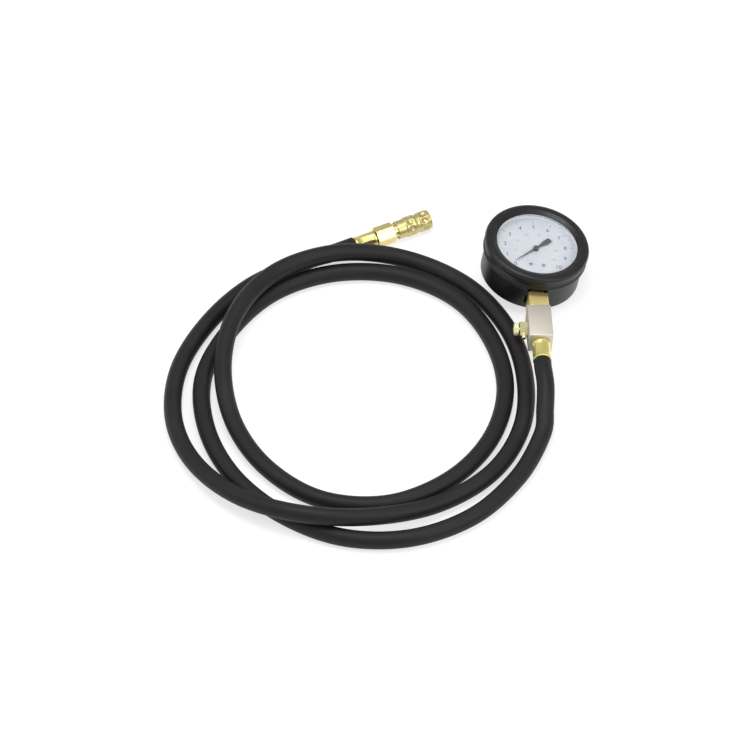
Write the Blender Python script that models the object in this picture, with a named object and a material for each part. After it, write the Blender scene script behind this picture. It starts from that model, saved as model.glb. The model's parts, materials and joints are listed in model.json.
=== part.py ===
"""Oil pressure gauge set: dial gauge in a rubber boot, manifold block with a bleed
valve, and a rubber hose that ends in a quick coupler. Units are metres, +Z is up.

The head lies on the floor as it was put down: on the rim of its boot, rolled to the
right. The hose lies in two and a half loose turns to its left.
"""
import math

import bmesh
import bpy
from mathutils import Euler, Matrix, Vector, geometry

# Fits
GAP = 0.0003               # between pieces that seat on or in each other
RUNNING_GAP = 0.0003       # between pieces that move against each other

# Pose of the head on the floor
HEAD_X = -0.0031
HEAD_Y = 0.0307
HEAD_ROLL = math.radians(10.35)
HEAD_PITCH = math.radians(-1.0)
HEAD_YAW = math.radians(3.0)

# Case and dial, nominal size 63 mm
CASE_RADIUS = 0.0320
CASE_WALL = 0.0008
CASE_FLOOR = -0.0007       # underside of the case; heights are from the head's frame
CASE_RIM = 0.0020          # from the dial's face to the case's edge
DIAL_STANDOFF = 0.0043     # from the movement to the dial's face
DIAL_THICKNESS = 0.0006
DIAL_EDGE_GAP = 0.0006
DIAL_HOLE_RADIUS = 0.0020
LENS_THICKNESS = 0.0013
GASKET_THICKNESS = 0.0003
BEZEL_WALL = 0.0009
BEZEL_FRONT = 0.0007
BEZEL_SKIRT = 0.0058
BEZEL_LAND = 0.0021        # its front reaches this far inside the case's outside
RING_WALL = 0.0006         # distance ring between dial and lens

# Rubber boot
BOOT_BASE = -0.0043        # outside of its back
BOOT_WALL = 0.0034
BOOT_BACK = 0.0022
BOOT_SEAT_WIDTH = 0.0048
BOOT_BAND_STEP = 0.0018
BOOT_BAND_DEPTH = 0.0113   # its front band
BOOT_CREST = 0.0026        # from the bezel's front to the top of the band
BOOT_EDGE_ROUND = 0.0022
LIP_REACH = 0.0027         # its lip reaches this far inside the case's outside
LIP_THICKNESS = 0.0010     # at the edge of the opening
BOOT_WINDOW_WIDTH = 0.0177

# Stem and socket
STEM_HEIGHT = 0.0100       # its axis
STEM_NECK_RADIUS = 0.0055
FLATS_WIDTH = 0.0140
FLATS_OFFSET = 0.0010      # from the boot's band to the wrench flats
FLATS_LENGTH = 0.0137
STEM_THREAD_RADIUS = 0.0065
STEM_THREAD_LENGTH = 0.0115
STEM_BORE_RADIUS = 0.0015
SOCKET_HALF_WIDTH = 0.0063
SOCKET_CLEARANCE = 0.0014  # to the wall of the case
SOCKET_DEPTH = 0.0103
SOCKET_TOP = 0.0156
SEAT_END = 0.0030          # end of the movement's seat past the dial's axis
SEAT_TOP = 0.0083

# Bourdon tube
TUBE_INSET = 0.0067        # from the wall of the case to the middle of the tube
TUBE_HALF_WIDTH = 0.0015
TUBE_HALF_HEIGHT = 0.0040
TUBE_WALL = 0.0004
TUBE_TIP_ANGLE = math.radians(-20.0)
TIP_LENGTH_ANGLE = math.radians(8.0)

# Movement
PLATE_THICKNESS = 0.0010
BACK_PLATE_BOTTOM = 0.0086
GEAR_MODULE = 0.0005
PINION_TEETH = 9
SECTOR_FULL_TEETH = 54
SECTOR_DIRECTION = math.radians(-45.3)   # from the dial's axis to the sector's pivot
SECTOR_TEETH_BEFORE = 8
SECTOR_TEETH_AFTER = 1
SECTOR_BOTTOM = 0.0116
SECTOR_THICKNESS = 0.0010
TAIL_RADIUS = 0.0048
TAIL_DIRECTION = math.radians(-57.5)
ARBOR_RADIUS = 0.0008
PIVOT_HOLE_RADIUS = 0.0011
PILLAR_RADIUS = 0.0016
PILLAR_PLACES = ((0.0135, -0.0040), (-0.0072, 0.0046), (-0.0076, -0.0054))
MOVEMENT_SCREW_PLACES = ((-0.0034, -0.0050), (0.0034, -0.0095))
LINK_THICKNESS = 0.0006
LINK_PIN_RADIUS = 0.0007
HAIRSPRING_TURNS = 3.5
HAIRSPRING_INNER = 0.0019
HAIRSPRING_PITCH = 0.0010
HAIRSPRING_STRIP = 0.00016
HAIRSPRING_HEIGHT = 0.0006

# Pointer and dial screws
POINTER_TIP = 0.0205
POINTER_TAIL = 0.0128
POINTER_TAIL_WIDTH = 0.0034
POINTER_THICKNESS = 0.0005
POINTER_HUB_RADIUS = 0.0019
POINTER_ZERO = math.radians(-135.0)
DIAL_SCREW_PLACES = ((-0.0046, -0.0155), (0.0046, -0.0155))
DIAL_POST_RADIUS = 0.0014
SCREW_RADIUS = 0.0007
SCREW_HEAD_RADIUS = 0.0013

# Back of the case
CASE_SCREW_SPREAD = 0.0036
CASE_SCREW_INSET = 0.0052  # from the socket's outer end
RELIEF_PLUG_PLACE = (0.0, 0.0120)
RELIEF_PLUG_RADIUS = 0.0052

# Manifold block
BLOCK_TURN = math.radians(6.0)   # about the stem, as its thread stops
BLOCK_WIDTH = 0.0170
BLOCK_LENGTH = 0.0340
BLOCK_CHAMFER = 0.0007
BLOCK_CHANNEL_RADIUS = 0.0020
BLOCK_THREAD_DEPTH = 0.0122
BLEED_STATION = 0.0166     # from the block's upper end to the bleed valve

# Bleed valve
BLEED_THREAD_RADIUS = 0.0030
BLEED_THREAD_INNER = 0.0040
BLEED_HEX_FLATS = 0.0090
BLEED_HEX_START = 0.0100
BLEED_HEX_LENGTH = 0.0038
BLEED_KNOB_RADIUS = 0.00445
BLEED_KNOB_LENGTH = 0.0041
BLEED_SCREW_RADIUS = 0.0017
BLEED_SCREW_REACH = 0.0075
BLEED_SEAT_RADIUS = 0.0007
SPOUT_RADIUS = 0.0017
SPOUT_BORE_RADIUS = 0.0008
SPOUT_REACH = 0.0088
KNOB_FLUTES = 16
KNOB_FLUTE_DEPTH = 0.0003

# Hose and its ends
HOSE_RADIUS = 0.00635
NIPPLE_THREAD_RADIUS = 0.0050
NIPPLE_BARB_RADIUS = 0.0034
NIPPLE_BORE_RADIUS = 0.0020
FERRULE_RADIUS = 0.0064
FERRULE_LENGTH = 0.0130
FERRULE_CRIMPS = 8
COUPLER_FERRULE_RADIUS = 0.0058
COUPLER_FERRULE_LENGTH = 0.0166
HOSE_POINTS = 78
HOSE_BEVEL_RESOLUTION = 2
HOSE_LEAD_OUT = 0.006      # straight out of the head's ferrule
HOSE_LEAD_IN = 0.016       # straight into the coupler's ferrule

# Quick coupler: distances along it are from the end of the hose
COUPLER_YAW = math.radians(26.0)
COUPLER_PLACE = (-0.1294, 0.0562, 0.0075)
HEX_FLATS = 0.0128
HEX_LENGTH = 0.0145
HEX_TURN = math.radians(10.0)
BODY_NECK_RADIUS = 0.0056
BODY_FRONT_RADIUS = 0.00495
BODY_SHOULDER = 0.0380
BODY_END = 0.0586
PLUG_BORE_RADIUS = 0.0040
THROAT_RADIUS = 0.0024
THROAT_START = 0.0435
THROAT_LENGTH = 0.0025
CHAMBER_START = 0.0285
NIPPLE_BODY_THREAD_RADIUS = 0.0042
NIPPLE_BODY_THREAD_LENGTH = 0.0105
SLEEVE_START = 0.0348
SLEEVE_END = 0.0600
SLEEVE_COLLAR_RADIUS = 0.0066
SLEEVE_COLLAR_LENGTH = 0.0038
SLEEVE_BAND_RADIUS = 0.00725
SLEEVE_GROOVE_RADIUS = 0.0066
SLEEVE_CHAMBER_RADIUS = 0.00595
SLEEVE_LAND_START = 0.0460
SLEEVE_RELEASE_START = 0.0530
SLEEVE_RELEASE_LENGTH = 0.0028
SLEEVE_LIP = 0.0007
SLEEVE_SCALLOPS = 12
SCALLOP_DEPTH = 0.0006
BALL_RADIUS = 0.0010
BALL_STATION = 0.0515
BALL_COUNT = 4
SNAP_RING_WIRE = 0.0004
SEAL_WIRE = 0.0005
POPPET_HEAD_RADIUS = 0.0035
POPPET_STEM_RADIUS = 0.0011
POPPET_HEAD_LENGTH = 0.0022
POPPET_REACH = 0.0055
SPRING_WIRE = 0.00025
SLEEVE_SPRING_TURNS = 4.5
POPPET_SPRING_TURNS = 5.0
POPPET_SPRING_RADIUS = 0.0028

LARGE_ROUND = 36
MEDIUM_ROUND = 24
SMALL_ROUND = 16

# Route of the hose in millimetres, from the head to the coupler. It starts straight
# out of the ferrule and ends straight into the coupler.
ROUTE_MM = (
    (6.2, -90, 20.5), (5.7, -107, 14.5), (3.4, -127, 9), (-14, -165, 7), (-46, -201, 6.5),
    (-90, -221, 6.5), (-138, -220, 6.5), (-181, -198, 6.5), (-214, -163, 6.5),
    (-233, -119, 6.5), (-236, -71, 6.5), (-218, -26, 6.5), (-187, 11, 6.5), (-144, 30, 6.5),
    (-97, 28, 6.5), (-56, 5, 6.5), (-31, -35, 6.5), (-22, -82, 6.5), (-33, -129, 6.5),
    (-62, -167, 6.5), (-105, -189, 6.5), (-152, -185, 6.5), (-190, -156, 6.5),
    (-214, -114, 8), (-222, -67, 15), (-213, -21, 20.5), (-185, 19, 20), (-141, 40, 17.5),
    (-93, 42, 9), (-49, 18, 7), (-20, -23, 6.5), (-8, -70, 6.5), (-11, -118, 6.5),
    (-32, -160, 6.5), (-70, -190, 7.5), (-116, -208, 14.5), (-164, -211, 20.5),
    (-208, -190, 14.5), (-240, -154, 8), (-256, -112, 6.5), (-254, -65, 6.5),
    (-235, -21, 6.5), (-205, 16, 6.5), (-165, 41, 6.8),
)


# Derived sizes that several pieces share
CASE_INNER = CASE_RADIUS - CASE_WALL
LINK_BOTTOM = STEM_HEIGHT + TUBE_HALF_HEIGHT + RUNNING_GAP
LINK_TOP = LINK_BOTTOM + LINK_THICKNESS
FRONT_PLATE_BOTTOM = LINK_TOP + RUNNING_GAP
DIAL_FACE = FRONT_PLATE_BOTTOM + PLATE_THICKNESS + DIAL_STANDOFF   # its front
CASE_TOP = DIAL_FACE + CASE_RIM
BOOT_BORE = CASE_RADIUS + GAP
BOOT_INSIDE = BOOT_BASE + BOOT_BACK
BOOT_RADIUS = BOOT_BORE + BOOT_WALL
BAND_RADIUS = BOOT_RADIUS + BOOT_BAND_STEP
LIP_OPENING = CASE_RADIUS - LIP_REACH
LENS_BOTTOM = CASE_TOP + 2 * GAP + GASKET_THICKNESS
LENS_TOP = LENS_BOTTOM + LENS_THICKNESS
BEZEL_TOP = LENS_TOP + GAP + BEZEL_FRONT
LIP_EDGE_HEIGHT = BEZEL_TOP + LIP_THICKNESS
BOOT_HEIGHT = BEZEL_TOP + BOOT_CREST
BOOT_BAND_START = BOOT_HEIGHT - BOOT_BAND_DEPTH
BEZEL_RADIUS = CASE_RADIUS + GAP + BEZEL_WALL
BEZEL_OPENING = CASE_RADIUS - BEZEL_LAND
SOCKET_OUTER = CASE_INNER - SOCKET_CLEARANCE
SOCKET_INNER = SOCKET_OUTER - SOCKET_DEPTH
TUBE_RADIUS = CASE_INNER - TUBE_INSET
CASE_SCREW_PLACES = ((-CASE_SCREW_SPREAD, CASE_SCREW_INSET - SOCKET_OUTER),
                     (CASE_SCREW_SPREAD, CASE_SCREW_INSET - SOCKET_OUTER))
# Distances along the stem are from the dial's axis.
FLATS_START = BAND_RADIUS + FLATS_OFFSET
STEM_END = FLATS_START + FLATS_LENGTH
BLOCK_START = STEM_END + GAP
BLOCK_END = BLOCK_START + BLOCK_LENGTH
FERRULE_START = BLOCK_END + GAP
HOSE_START = FERRULE_START + FERRULE_LENGTH + GAP
GEAR_DISTANCE = GEAR_MODULE * (PINION_TEETH + SECTOR_FULL_TEETH) / 2
SECTOR_PIVOT = (GEAR_DISTANCE * math.cos(SECTOR_DIRECTION),
                GEAR_DISTANCE * math.sin(SECTOR_DIRECTION))
TAIL_PIN = (SECTOR_PIVOT[0] + TAIL_RADIUS * math.cos(TAIL_DIRECTION),
            SECTOR_PIVOT[1] + TAIL_RADIUS * math.sin(TAIL_DIRECTION))
TIP_PIN_ANGLE = TUBE_TIP_ANGLE - TIP_LENGTH_ANGLE / 2
TIP_PIN = (TUBE_RADIUS * math.cos(TIP_PIN_ANGLE), TUBE_RADIUS * math.sin(TIP_PIN_ANGLE))
HEX_START = COUPLER_FERRULE_LENGTH + 2 * GAP
HEX_END = HEX_START + HEX_LENGTH
BODY_THREAD_BORE = NIPPLE_BODY_THREAD_RADIUS + GAP


def clear_scene():
    for old in list(bpy.data.objects):
        bpy.data.objects.remove(old, do_unlink=True)


def finish(name, colour, roughness, metallic, alpha=1.0):
    """A plain surface: linear colour, roughness, metallic and opacity."""
    material = bpy.data.materials.new(name)
    material.use_nodes = True
    shader = material.node_tree.nodes["Principled BSDF"]
    shader.inputs["Base Color"].default_value = (*colour, 1.0)
    shader.inputs["Roughness"].default_value = roughness
    shader.inputs["Metallic"].default_value = metallic
    shader.inputs["Alpha"].default_value = alpha
    return material


def own_finish(material, name):
    """A copy of a finish for one piece, named after both."""
    copy = material.copy()
    copy.name = f"{material.name}.{name}"
    return copy


def frame(name, parent=None, place=(0, 0, 0), turn=(0, 0, 0)):
    """An empty that carries pieces."""
    empty = bpy.data.objects.new(name, None)
    empty.location = place
    empty.rotation_euler = turn
    empty.parent = parent
    bpy.context.scene.collection.objects.link(empty)
    return empty


def piece(name, mesh_builder, material, parent, place=(0, 0, 0), turn=(0, 0, 0)):
    """An object from a filled bmesh, with outward faces and smooth round sides."""
    bmesh.ops.recalc_face_normals(mesh_builder, faces=mesh_builder.faces)
    if mesh_builder.calc_volume(signed=True) < 0:
        bmesh.ops.reverse_faces(mesh_builder, faces=mesh_builder.faces)
    mesh = bpy.data.meshes.new(name)
    mesh_builder.to_mesh(mesh)
    mesh_builder.free()
    mesh.shade_smooth()
    mesh.set_sharp_from_angle(angle=math.radians(32))
    if material is not None:
        mesh.materials.append(own_finish(material, name))
    item = bpy.data.objects.new(name, mesh)
    item.location = place
    item.rotation_euler = turn
    item.parent = parent
    bpy.context.scene.collection.objects.link(item)
    return item


def repeated(name, mesh_builder, material, parent, places):
    """Equal pieces at several places, each its own object on one shared mesh."""
    first = piece(name + "_1", mesh_builder, material, parent, places[0])
    for number, place in enumerate(places[1:], 2):
        item = bpy.data.objects.new(f"{name}_{number}", first.data)
        item.location = place
        item.parent = parent
        bpy.context.scene.collection.objects.link(item)


def hidden(item):
    """Mark a cutter or an operand, which is no piece of the gauge."""
    item.hide_render = True
    item.display_type = "WIRE"
    return item


def combine(target, operand, operation="DIFFERENCE"):
    """Cut the operand out of the target, or join it on."""
    step = target.modifiers.new(operation.lower(), "BOOLEAN")
    step.operation = operation
    step.object = hidden(operand)
    return target


def bevelled(item, width, angle=40.0):
    """Chamfer the sharp edges."""
    step = item.modifiers.new("chamfer", "BEVEL")
    step.width = width
    step.segments = 1
    step.limit_method = "ANGLE"
    step.angle_limit = math.radians(angle)
    return item


def turned(profile, segments=LARGE_ROUND, start=None):
    """Turn a profile of (radius, height) points about Z.

    A profile whose two ends lie on the axis is solid; any other one is closed from
    its last point to its first.
    """
    shape = start or bmesh.new()
    points = [shape.verts.new((radius, 0.0, height)) for radius, height in profile]
    pairs = list(zip(points, points[1:]))
    if profile[0][0] > 0 or profile[-1][0] > 0:
        pairs.append((points[-1], points[0]))
    edges = [shape.edges.new(pair) for pair in pairs]
    bmesh.ops.spin(shape, geom=points + edges, cent=(0, 0, 0), axis=(0, 0, 1),
                   angle=2 * math.pi, steps=segments, use_merge=True)
    bmesh.ops.remove_doubles(shape, verts=shape.verts, dist=1e-6)
    return shape


def rod(radius, bottom, top, segments=SMALL_ROUND, centre=(0, 0), start=None):
    """A round bar along Z."""
    shape = start or bmesh.new()
    made = bmesh.ops.create_cone(
        shape, cap_ends=True, segments=segments, radius1=radius, radius2=radius,
        depth=top - bottom,
        matrix=Matrix.Translation((centre[0], centre[1], (bottom + top) / 2)))
    for face in {f for vert in made["verts"] for f in vert.link_faces}:
        if len(face.verts) > 4:
            bmesh.ops.triangulate(shape, faces=[face])
    return shape


def rods(places, radius, bottom, top, segments=SMALL_ROUND):
    """Several equal bars in one mesh."""
    shape = bmesh.new()
    for place in places:
        rod(radius, bottom, top, segments, place, shape)
    return shape


def plate(outline, bottom, top, start=None):
    """A flat plate from an outline of (x, y) points."""
    shape = start or bmesh.new()
    base = shape.faces.new([shape.verts.new((x, y, bottom)) for x, y in outline])
    raised = bmesh.ops.extrude_face_region(shape, geom=[base])
    lift = [item for item in raised["geom"] if isinstance(item, bmesh.types.BMVert)]
    bmesh.ops.translate(shape, verts=lift, vec=(0, 0, top - bottom))
    return shape


def box(low, high):
    """A rectangular block."""
    return plate(((low[0], low[1]), (high[0], low[1]), (high[0], high[1]),
                  (low[0], high[1])), low[2], high[2])


def hull_outline(circles, steps=20):
    """The outline of a strap drawn tight round circles of (x, y, radius)."""
    points = [Vector((x + r * math.cos(2 * math.pi * k / steps),
                      y + r * math.sin(2 * math.pi * k / steps)))
              for x, y, r in circles for k in range(steps)]
    return [(points[i].x, points[i].y) for i in geometry.convex_hull_2d(points)]


def swept(section, path, closed=False, start=None):
    """Loft one section along a list of matrices and cap both ends."""
    shape = start or bmesh.new()
    rings = [[shape.verts.new(step @ Vector((x, y, 0.0))) for x, y in section]
             for step in path]
    count = len(section)
    pairs = list(zip(rings, rings[1:]))
    if closed:
        pairs.append((rings[-1], rings[0]))
    for low, high in pairs:
        for k in range(count):
            after = (k + 1) % count
            shape.faces.new((low[k], low[after], high[after], high[k]))
    if not closed:
        shape.faces.new(rings[0])
        shape.faces.new(list(reversed(rings[-1])))
    return shape


def ring_section(radius, sides):
    return [(radius * math.cos(2 * math.pi * k / sides),
             radius * math.sin(2 * math.pi * k / sides)) for k in range(sides)]


def coil_spring(radius, wire, bottom, top, turns, sides=4, steps_per_turn=12):
    """A round wire wound into a helix about Z."""
    steps = int(turns * steps_per_turn)
    rise = (top - bottom - 2 * wire) / steps
    slope = math.atan2(rise * steps_per_turn, 2 * math.pi * radius)
    path = []
    for k in range(steps + 1):
        angle = 2 * math.pi * k / steps_per_turn
        spot = Matrix.Translation((radius * math.cos(angle), radius * math.sin(angle),
                                   bottom + wire + rise * k))
        path.append(spot @ Matrix.Rotation(angle, 4, "Z") @ Matrix.Rotation(slope, 4, "X")
                    @ Matrix.Rotation(-math.pi / 2, 4, "X"))
    return swept(ring_section(wire, sides), path)


def wire_ring(radius, wire, height, sides=6, steps=20, sweep=2 * math.pi):
    """A round wire bent into a ring, or into part of one."""
    full = sweep >= 2 * math.pi - 1e-6
    path = []
    for k in range(steps if full else steps + 1):
        angle = sweep * k / steps
        path.append(Matrix.Rotation(angle, 4, "Z") @ Matrix.Translation((radius, 0, height))
                    @ Matrix.Rotation(math.pi / 2, 4, "X"))
    return swept(ring_section(wire, sides), path, closed=full)


def stretch_rings(shape, low, high, scale_at):
    """Scale the radius of the outer points between two heights by their angle."""
    for vert in shape.verts:
        radius = math.hypot(vert.co.x, vert.co.y)
        if low <= vert.co.z <= high and radius > 0:
            factor = scale_at(math.atan2(vert.co.y, vert.co.x), radius)
            vert.co.x *= factor
            vert.co.y *= factor
    return shape


# Boot, case and front

def boot_profile():
    """Half section of the boot, from the middle of its back round to its floor."""
    edge = BOOT_EDGE_ROUND
    corner = [(BOOT_RADIUS - edge * (1 - math.sin(a)),
               BOOT_BASE + edge * (1 - math.cos(a)))
              for a in (math.radians(d) for d in (0, 45, 90))]
    crest = BAND_RADIUS - 0.0033
    return ([(0.0, BOOT_BASE)] + corner
            + [(BOOT_RADIUS, BOOT_BAND_START),
               (BAND_RADIUS - 0.0004, BOOT_BAND_START),
               (BAND_RADIUS, BOOT_BAND_START + 0.0010),
               (BAND_RADIUS, BOOT_HEIGHT - 0.0034),
               (BAND_RADIUS - 0.0004, BOOT_HEIGHT - 0.0018),
               (BAND_RADIUS - 0.0015, BOOT_HEIGHT - 0.0006),
               (crest, BOOT_HEIGHT), (crest - 0.0020, BOOT_HEIGHT - 0.0001),
               (LIP_OPENING + 0.0012, LIP_EDGE_HEIGHT + 0.0007),
               (LIP_OPENING, LIP_EDGE_HEIGHT - 0.0003),
               (LIP_OPENING, BEZEL_TOP + GAP),
               (BEZEL_RADIUS + GAP, BEZEL_TOP + GAP),
               (BEZEL_RADIUS + GAP, BEZEL_TOP - BEZEL_SKIRT - GAP),
               (BOOT_BORE, BEZEL_TOP - BEZEL_SKIRT - GAP),
               (BOOT_BORE, CASE_FLOOR - GAP),
               (CASE_RADIUS - BOOT_SEAT_WIDTH, CASE_FLOOR - GAP),
               (CASE_RADIUS - BOOT_SEAT_WIDTH, BOOT_INSIDE),
               (0.0, BOOT_INSIDE)])


def rest_height():
    """How far the head's frame stands above the floor on the edge of the boot."""
    tilt = Euler((HEAD_PITCH, HEAD_ROLL, HEAD_YAW)).to_matrix()[2][2]
    lean = math.sqrt(1 - tilt * tilt)
    return max(radius * lean - height * tilt for radius, height in boot_profile())


def make_boot(head, rubber):
    boot = piece("rubber_boot", turned(boot_profile()), rubber, head)
    half = BOOT_WINDOW_WIDTH / 2
    window = piece("boot_window_cutter", box(
        (-half, -BAND_RADIUS - 0.005, STEM_HEIGHT - half),
        (half, -CASE_INNER + 0.004, BOOT_BAND_START - 0.0003)), None, head)
    return combine(boot, window)


def make_case(head, steel):
    floor, top = CASE_FLOOR, CASE_TOP
    case = piece("gauge_case", turned((
        (0.0, floor), (CASE_RADIUS - 0.0008, floor), (CASE_RADIUS, floor + 0.0008),
        (CASE_RADIUS, top), (CASE_INNER, top), (CASE_INNER, floor + CASE_WALL),
        (0.0, floor + CASE_WALL))), steel, head)
    stem = piece("case_stem_cutter", rod(STEM_NECK_RADIUS + GAP, CASE_INNER - 0.003,
                                         CASE_RADIUS + 0.003, 24),
                 None, head, (0, 0, STEM_HEIGHT), (math.pi / 2, 0, 0))
    combine(case, stem)
    holes = rods(CASE_SCREW_PLACES, SCREW_RADIUS + GAP, floor - 0.002,
                 floor + CASE_WALL + 0.002, 12)
    rod(RELIEF_PLUG_RADIUS + GAP, floor - 0.002, floor + CASE_WALL + 0.002, 24,
        RELIEF_PLUG_PLACE, holes)
    return combine(case, piece("case_floor_cutter", holes, None, head))


def make_front(head, finishes):
    """Bezel, lens and its gasket, distance ring, dial and its screws and posts."""
    lens_radius = CASE_RADIUS - GAP
    piece("bezel_ring", turned((
        (BEZEL_RADIUS, BEZEL_TOP - BEZEL_SKIRT), (BEZEL_RADIUS, BEZEL_TOP - 0.0005),
        (BEZEL_RADIUS - 0.0005, BEZEL_TOP), (BEZEL_OPENING, BEZEL_TOP),
        (BEZEL_OPENING, LENS_TOP + GAP), (CASE_RADIUS + GAP, LENS_TOP + GAP),
        (CASE_RADIUS + GAP, BEZEL_TOP - BEZEL_SKIRT))), finishes["black_steel"], head)
    piece("lens", turned((
        (0.0, LENS_BOTTOM), (lens_radius, LENS_BOTTOM), (lens_radius, LENS_TOP),
        (0.0, LENS_TOP))), finishes["glass"], head)
    piece("lens_gasket", turned((
        (CASE_INNER, CASE_TOP + GAP), (CASE_RADIUS, CASE_TOP + GAP),
        (CASE_RADIUS, CASE_TOP + GAP + GASKET_THICKNESS),
        (CASE_INNER, CASE_TOP + GAP + GASKET_THICKNESS))), finishes["rubber"], head)
    ring_outer = CASE_INNER - GAP
    piece("distance_ring", turned((
        (ring_outer - RING_WALL, DIAL_FACE + GAP), (ring_outer, DIAL_FACE + GAP),
        (ring_outer, LENS_BOTTOM - GAP), (ring_outer - RING_WALL, LENS_BOTTOM - GAP))), finishes["white_plastic"], head)
    dial_bottom = DIAL_FACE - DIAL_THICKNESS
    dial_radius = CASE_INNER - DIAL_EDGE_GAP
    dial = piece("dial_plate", turned((
        (DIAL_HOLE_RADIUS, dial_bottom), (dial_radius, dial_bottom),
        (dial_radius, DIAL_FACE), (DIAL_HOLE_RADIUS, DIAL_FACE))),
        finishes["dial_white"], head)
    combine(dial, piece("dial_screw_cutter", rods(
        DIAL_SCREW_PLACES, SCREW_RADIUS + GAP, dial_bottom - 0.001, DIAL_FACE + 0.001, 12),
        None, head))
    places = [(x, y, 0) for x, y in DIAL_SCREW_PLACES]
    repeated("dial_post", turned((
        (0.0, SEAT_TOP - 0.0026), (SCREW_RADIUS, SEAT_TOP - 0.0026),
        (SCREW_RADIUS, SEAT_TOP + GAP), (DIAL_POST_RADIUS, SEAT_TOP + GAP),
        (DIAL_POST_RADIUS, dial_bottom - GAP), (SCREW_RADIUS + GAP, dial_bottom - GAP),
        (SCREW_RADIUS + GAP, dial_bottom - 0.0040), (0.0, dial_bottom - 0.0040)), 12),
        finishes["brass"], head, places)
    head_bottom = DIAL_FACE + GAP
    repeated("dial_screw", turned((
        (0.0, dial_bottom - 0.0034), (SCREW_RADIUS, dial_bottom - 0.0034),
        (SCREW_RADIUS, head_bottom), (SCREW_HEAD_RADIUS, head_bottom),
        (SCREW_HEAD_RADIUS, head_bottom + 0.0003),
        (SCREW_HEAD_RADIUS * 0.6, head_bottom + 0.0006), (0.0, head_bottom + 0.0007)), 12),
        finishes["steel"], head, places)


def add_moved(target, part, matrix):
    """Add one mesh to another at a place, and free it."""
    part.transform(matrix)
    mesh = bpy.data.meshes.new("moved")
    part.to_mesh(mesh)
    part.free()
    target.from_mesh(mesh)
    bpy.data.meshes.remove(mesh)


# Socket, tube and movement

def make_socket(head, stem, brass):
    """Socket block with the movement's seat, neck, wrench flats and thread."""
    floor = CASE_FLOOR + CASE_WALL + GAP
    side = ((-SOCKET_OUTER, floor), (SEAT_END, floor), (SEAT_END, SEAT_TOP),
            (-SOCKET_INNER, SEAT_TOP), (-SOCKET_INNER, SOCKET_TOP),
            (-SOCKET_OUTER, SOCKET_TOP))
    socket = piece("stem_socket", plate(side, -SOCKET_HALF_WIDTH, SOCKET_HALF_WIDTH),
                   brass, head, (0, 0, 0), (math.pi / 2, 0, math.pi / 2))
    neck = piece("stem_neck_operand", turned((
        (0.0, SOCKET_OUTER - 0.006), (STEM_NECK_RADIUS, SOCKET_OUTER - 0.006),
        (STEM_NECK_RADIUS, FLATS_START + 0.001), (STEM_THREAD_RADIUS, STEM_END - 0.002),
        (STEM_THREAD_RADIUS, STEM_END + STEM_THREAD_LENGTH - 0.0008),
        (STEM_THREAD_RADIUS - 0.0008, STEM_END + STEM_THREAD_LENGTH),
        (0.0, STEM_END + STEM_THREAD_LENGTH)), MEDIUM_ROUND), None, stem)
    half = FLATS_WIDTH / 2
    flats = bevelled(piece("stem_flats_operand", box(
        (-half, -half, FLATS_START), (half, half, STEM_END)), None, stem), 0.0006)
    combine(socket, neck, "UNION")
    combine(socket, flats, "UNION")
    combine(socket, piece("stem_bore_cutter", rod(
        STEM_BORE_RADIUS, SOCKET_INNER + 0.004, STEM_END + STEM_THREAD_LENGTH + 0.002, 16),
        None, stem))
    floor_holes = rods(CASE_SCREW_PLACES, SCREW_RADIUS + GAP, floor - 0.001,
                       floor + 0.0034, 12)
    combine(socket, piece("case_screw_cutter", floor_holes, None, head))
    seat_holes = rods(MOVEMENT_SCREW_PLACES + DIAL_SCREW_PLACES, SCREW_RADIUS + GAP,
                      SEAT_TOP - 0.0030, SEAT_TOP + 0.001, 12)
    return combine(socket, piece("seat_screw_cutter", seat_holes, None, head))


def arc_steps(first, last, radius, height, steps):
    """Frames along an arc about the dial's axis, with X outward and Y up."""
    path = []
    for k in range(steps + 1):
        angle = first + (last - first) * k / steps
        path.append(Matrix.Rotation(angle, 4, "Z")
                    @ Matrix.Translation((radius, 0, height))
                    @ Matrix.Rotation(math.pi / 2, 4, "X"))
    return path


def flat_tube_section(half_width, half_height, sides=4):
    """A flattened round: two half circles joined by straight sides."""
    rise = half_height - half_width
    top = [(half_width * math.cos(math.pi * k / sides),
            rise + half_width * math.sin(math.pi * k / sides)) for k in range(sides + 1)]
    return top + [(-x, -y) for x, y in top]


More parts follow.
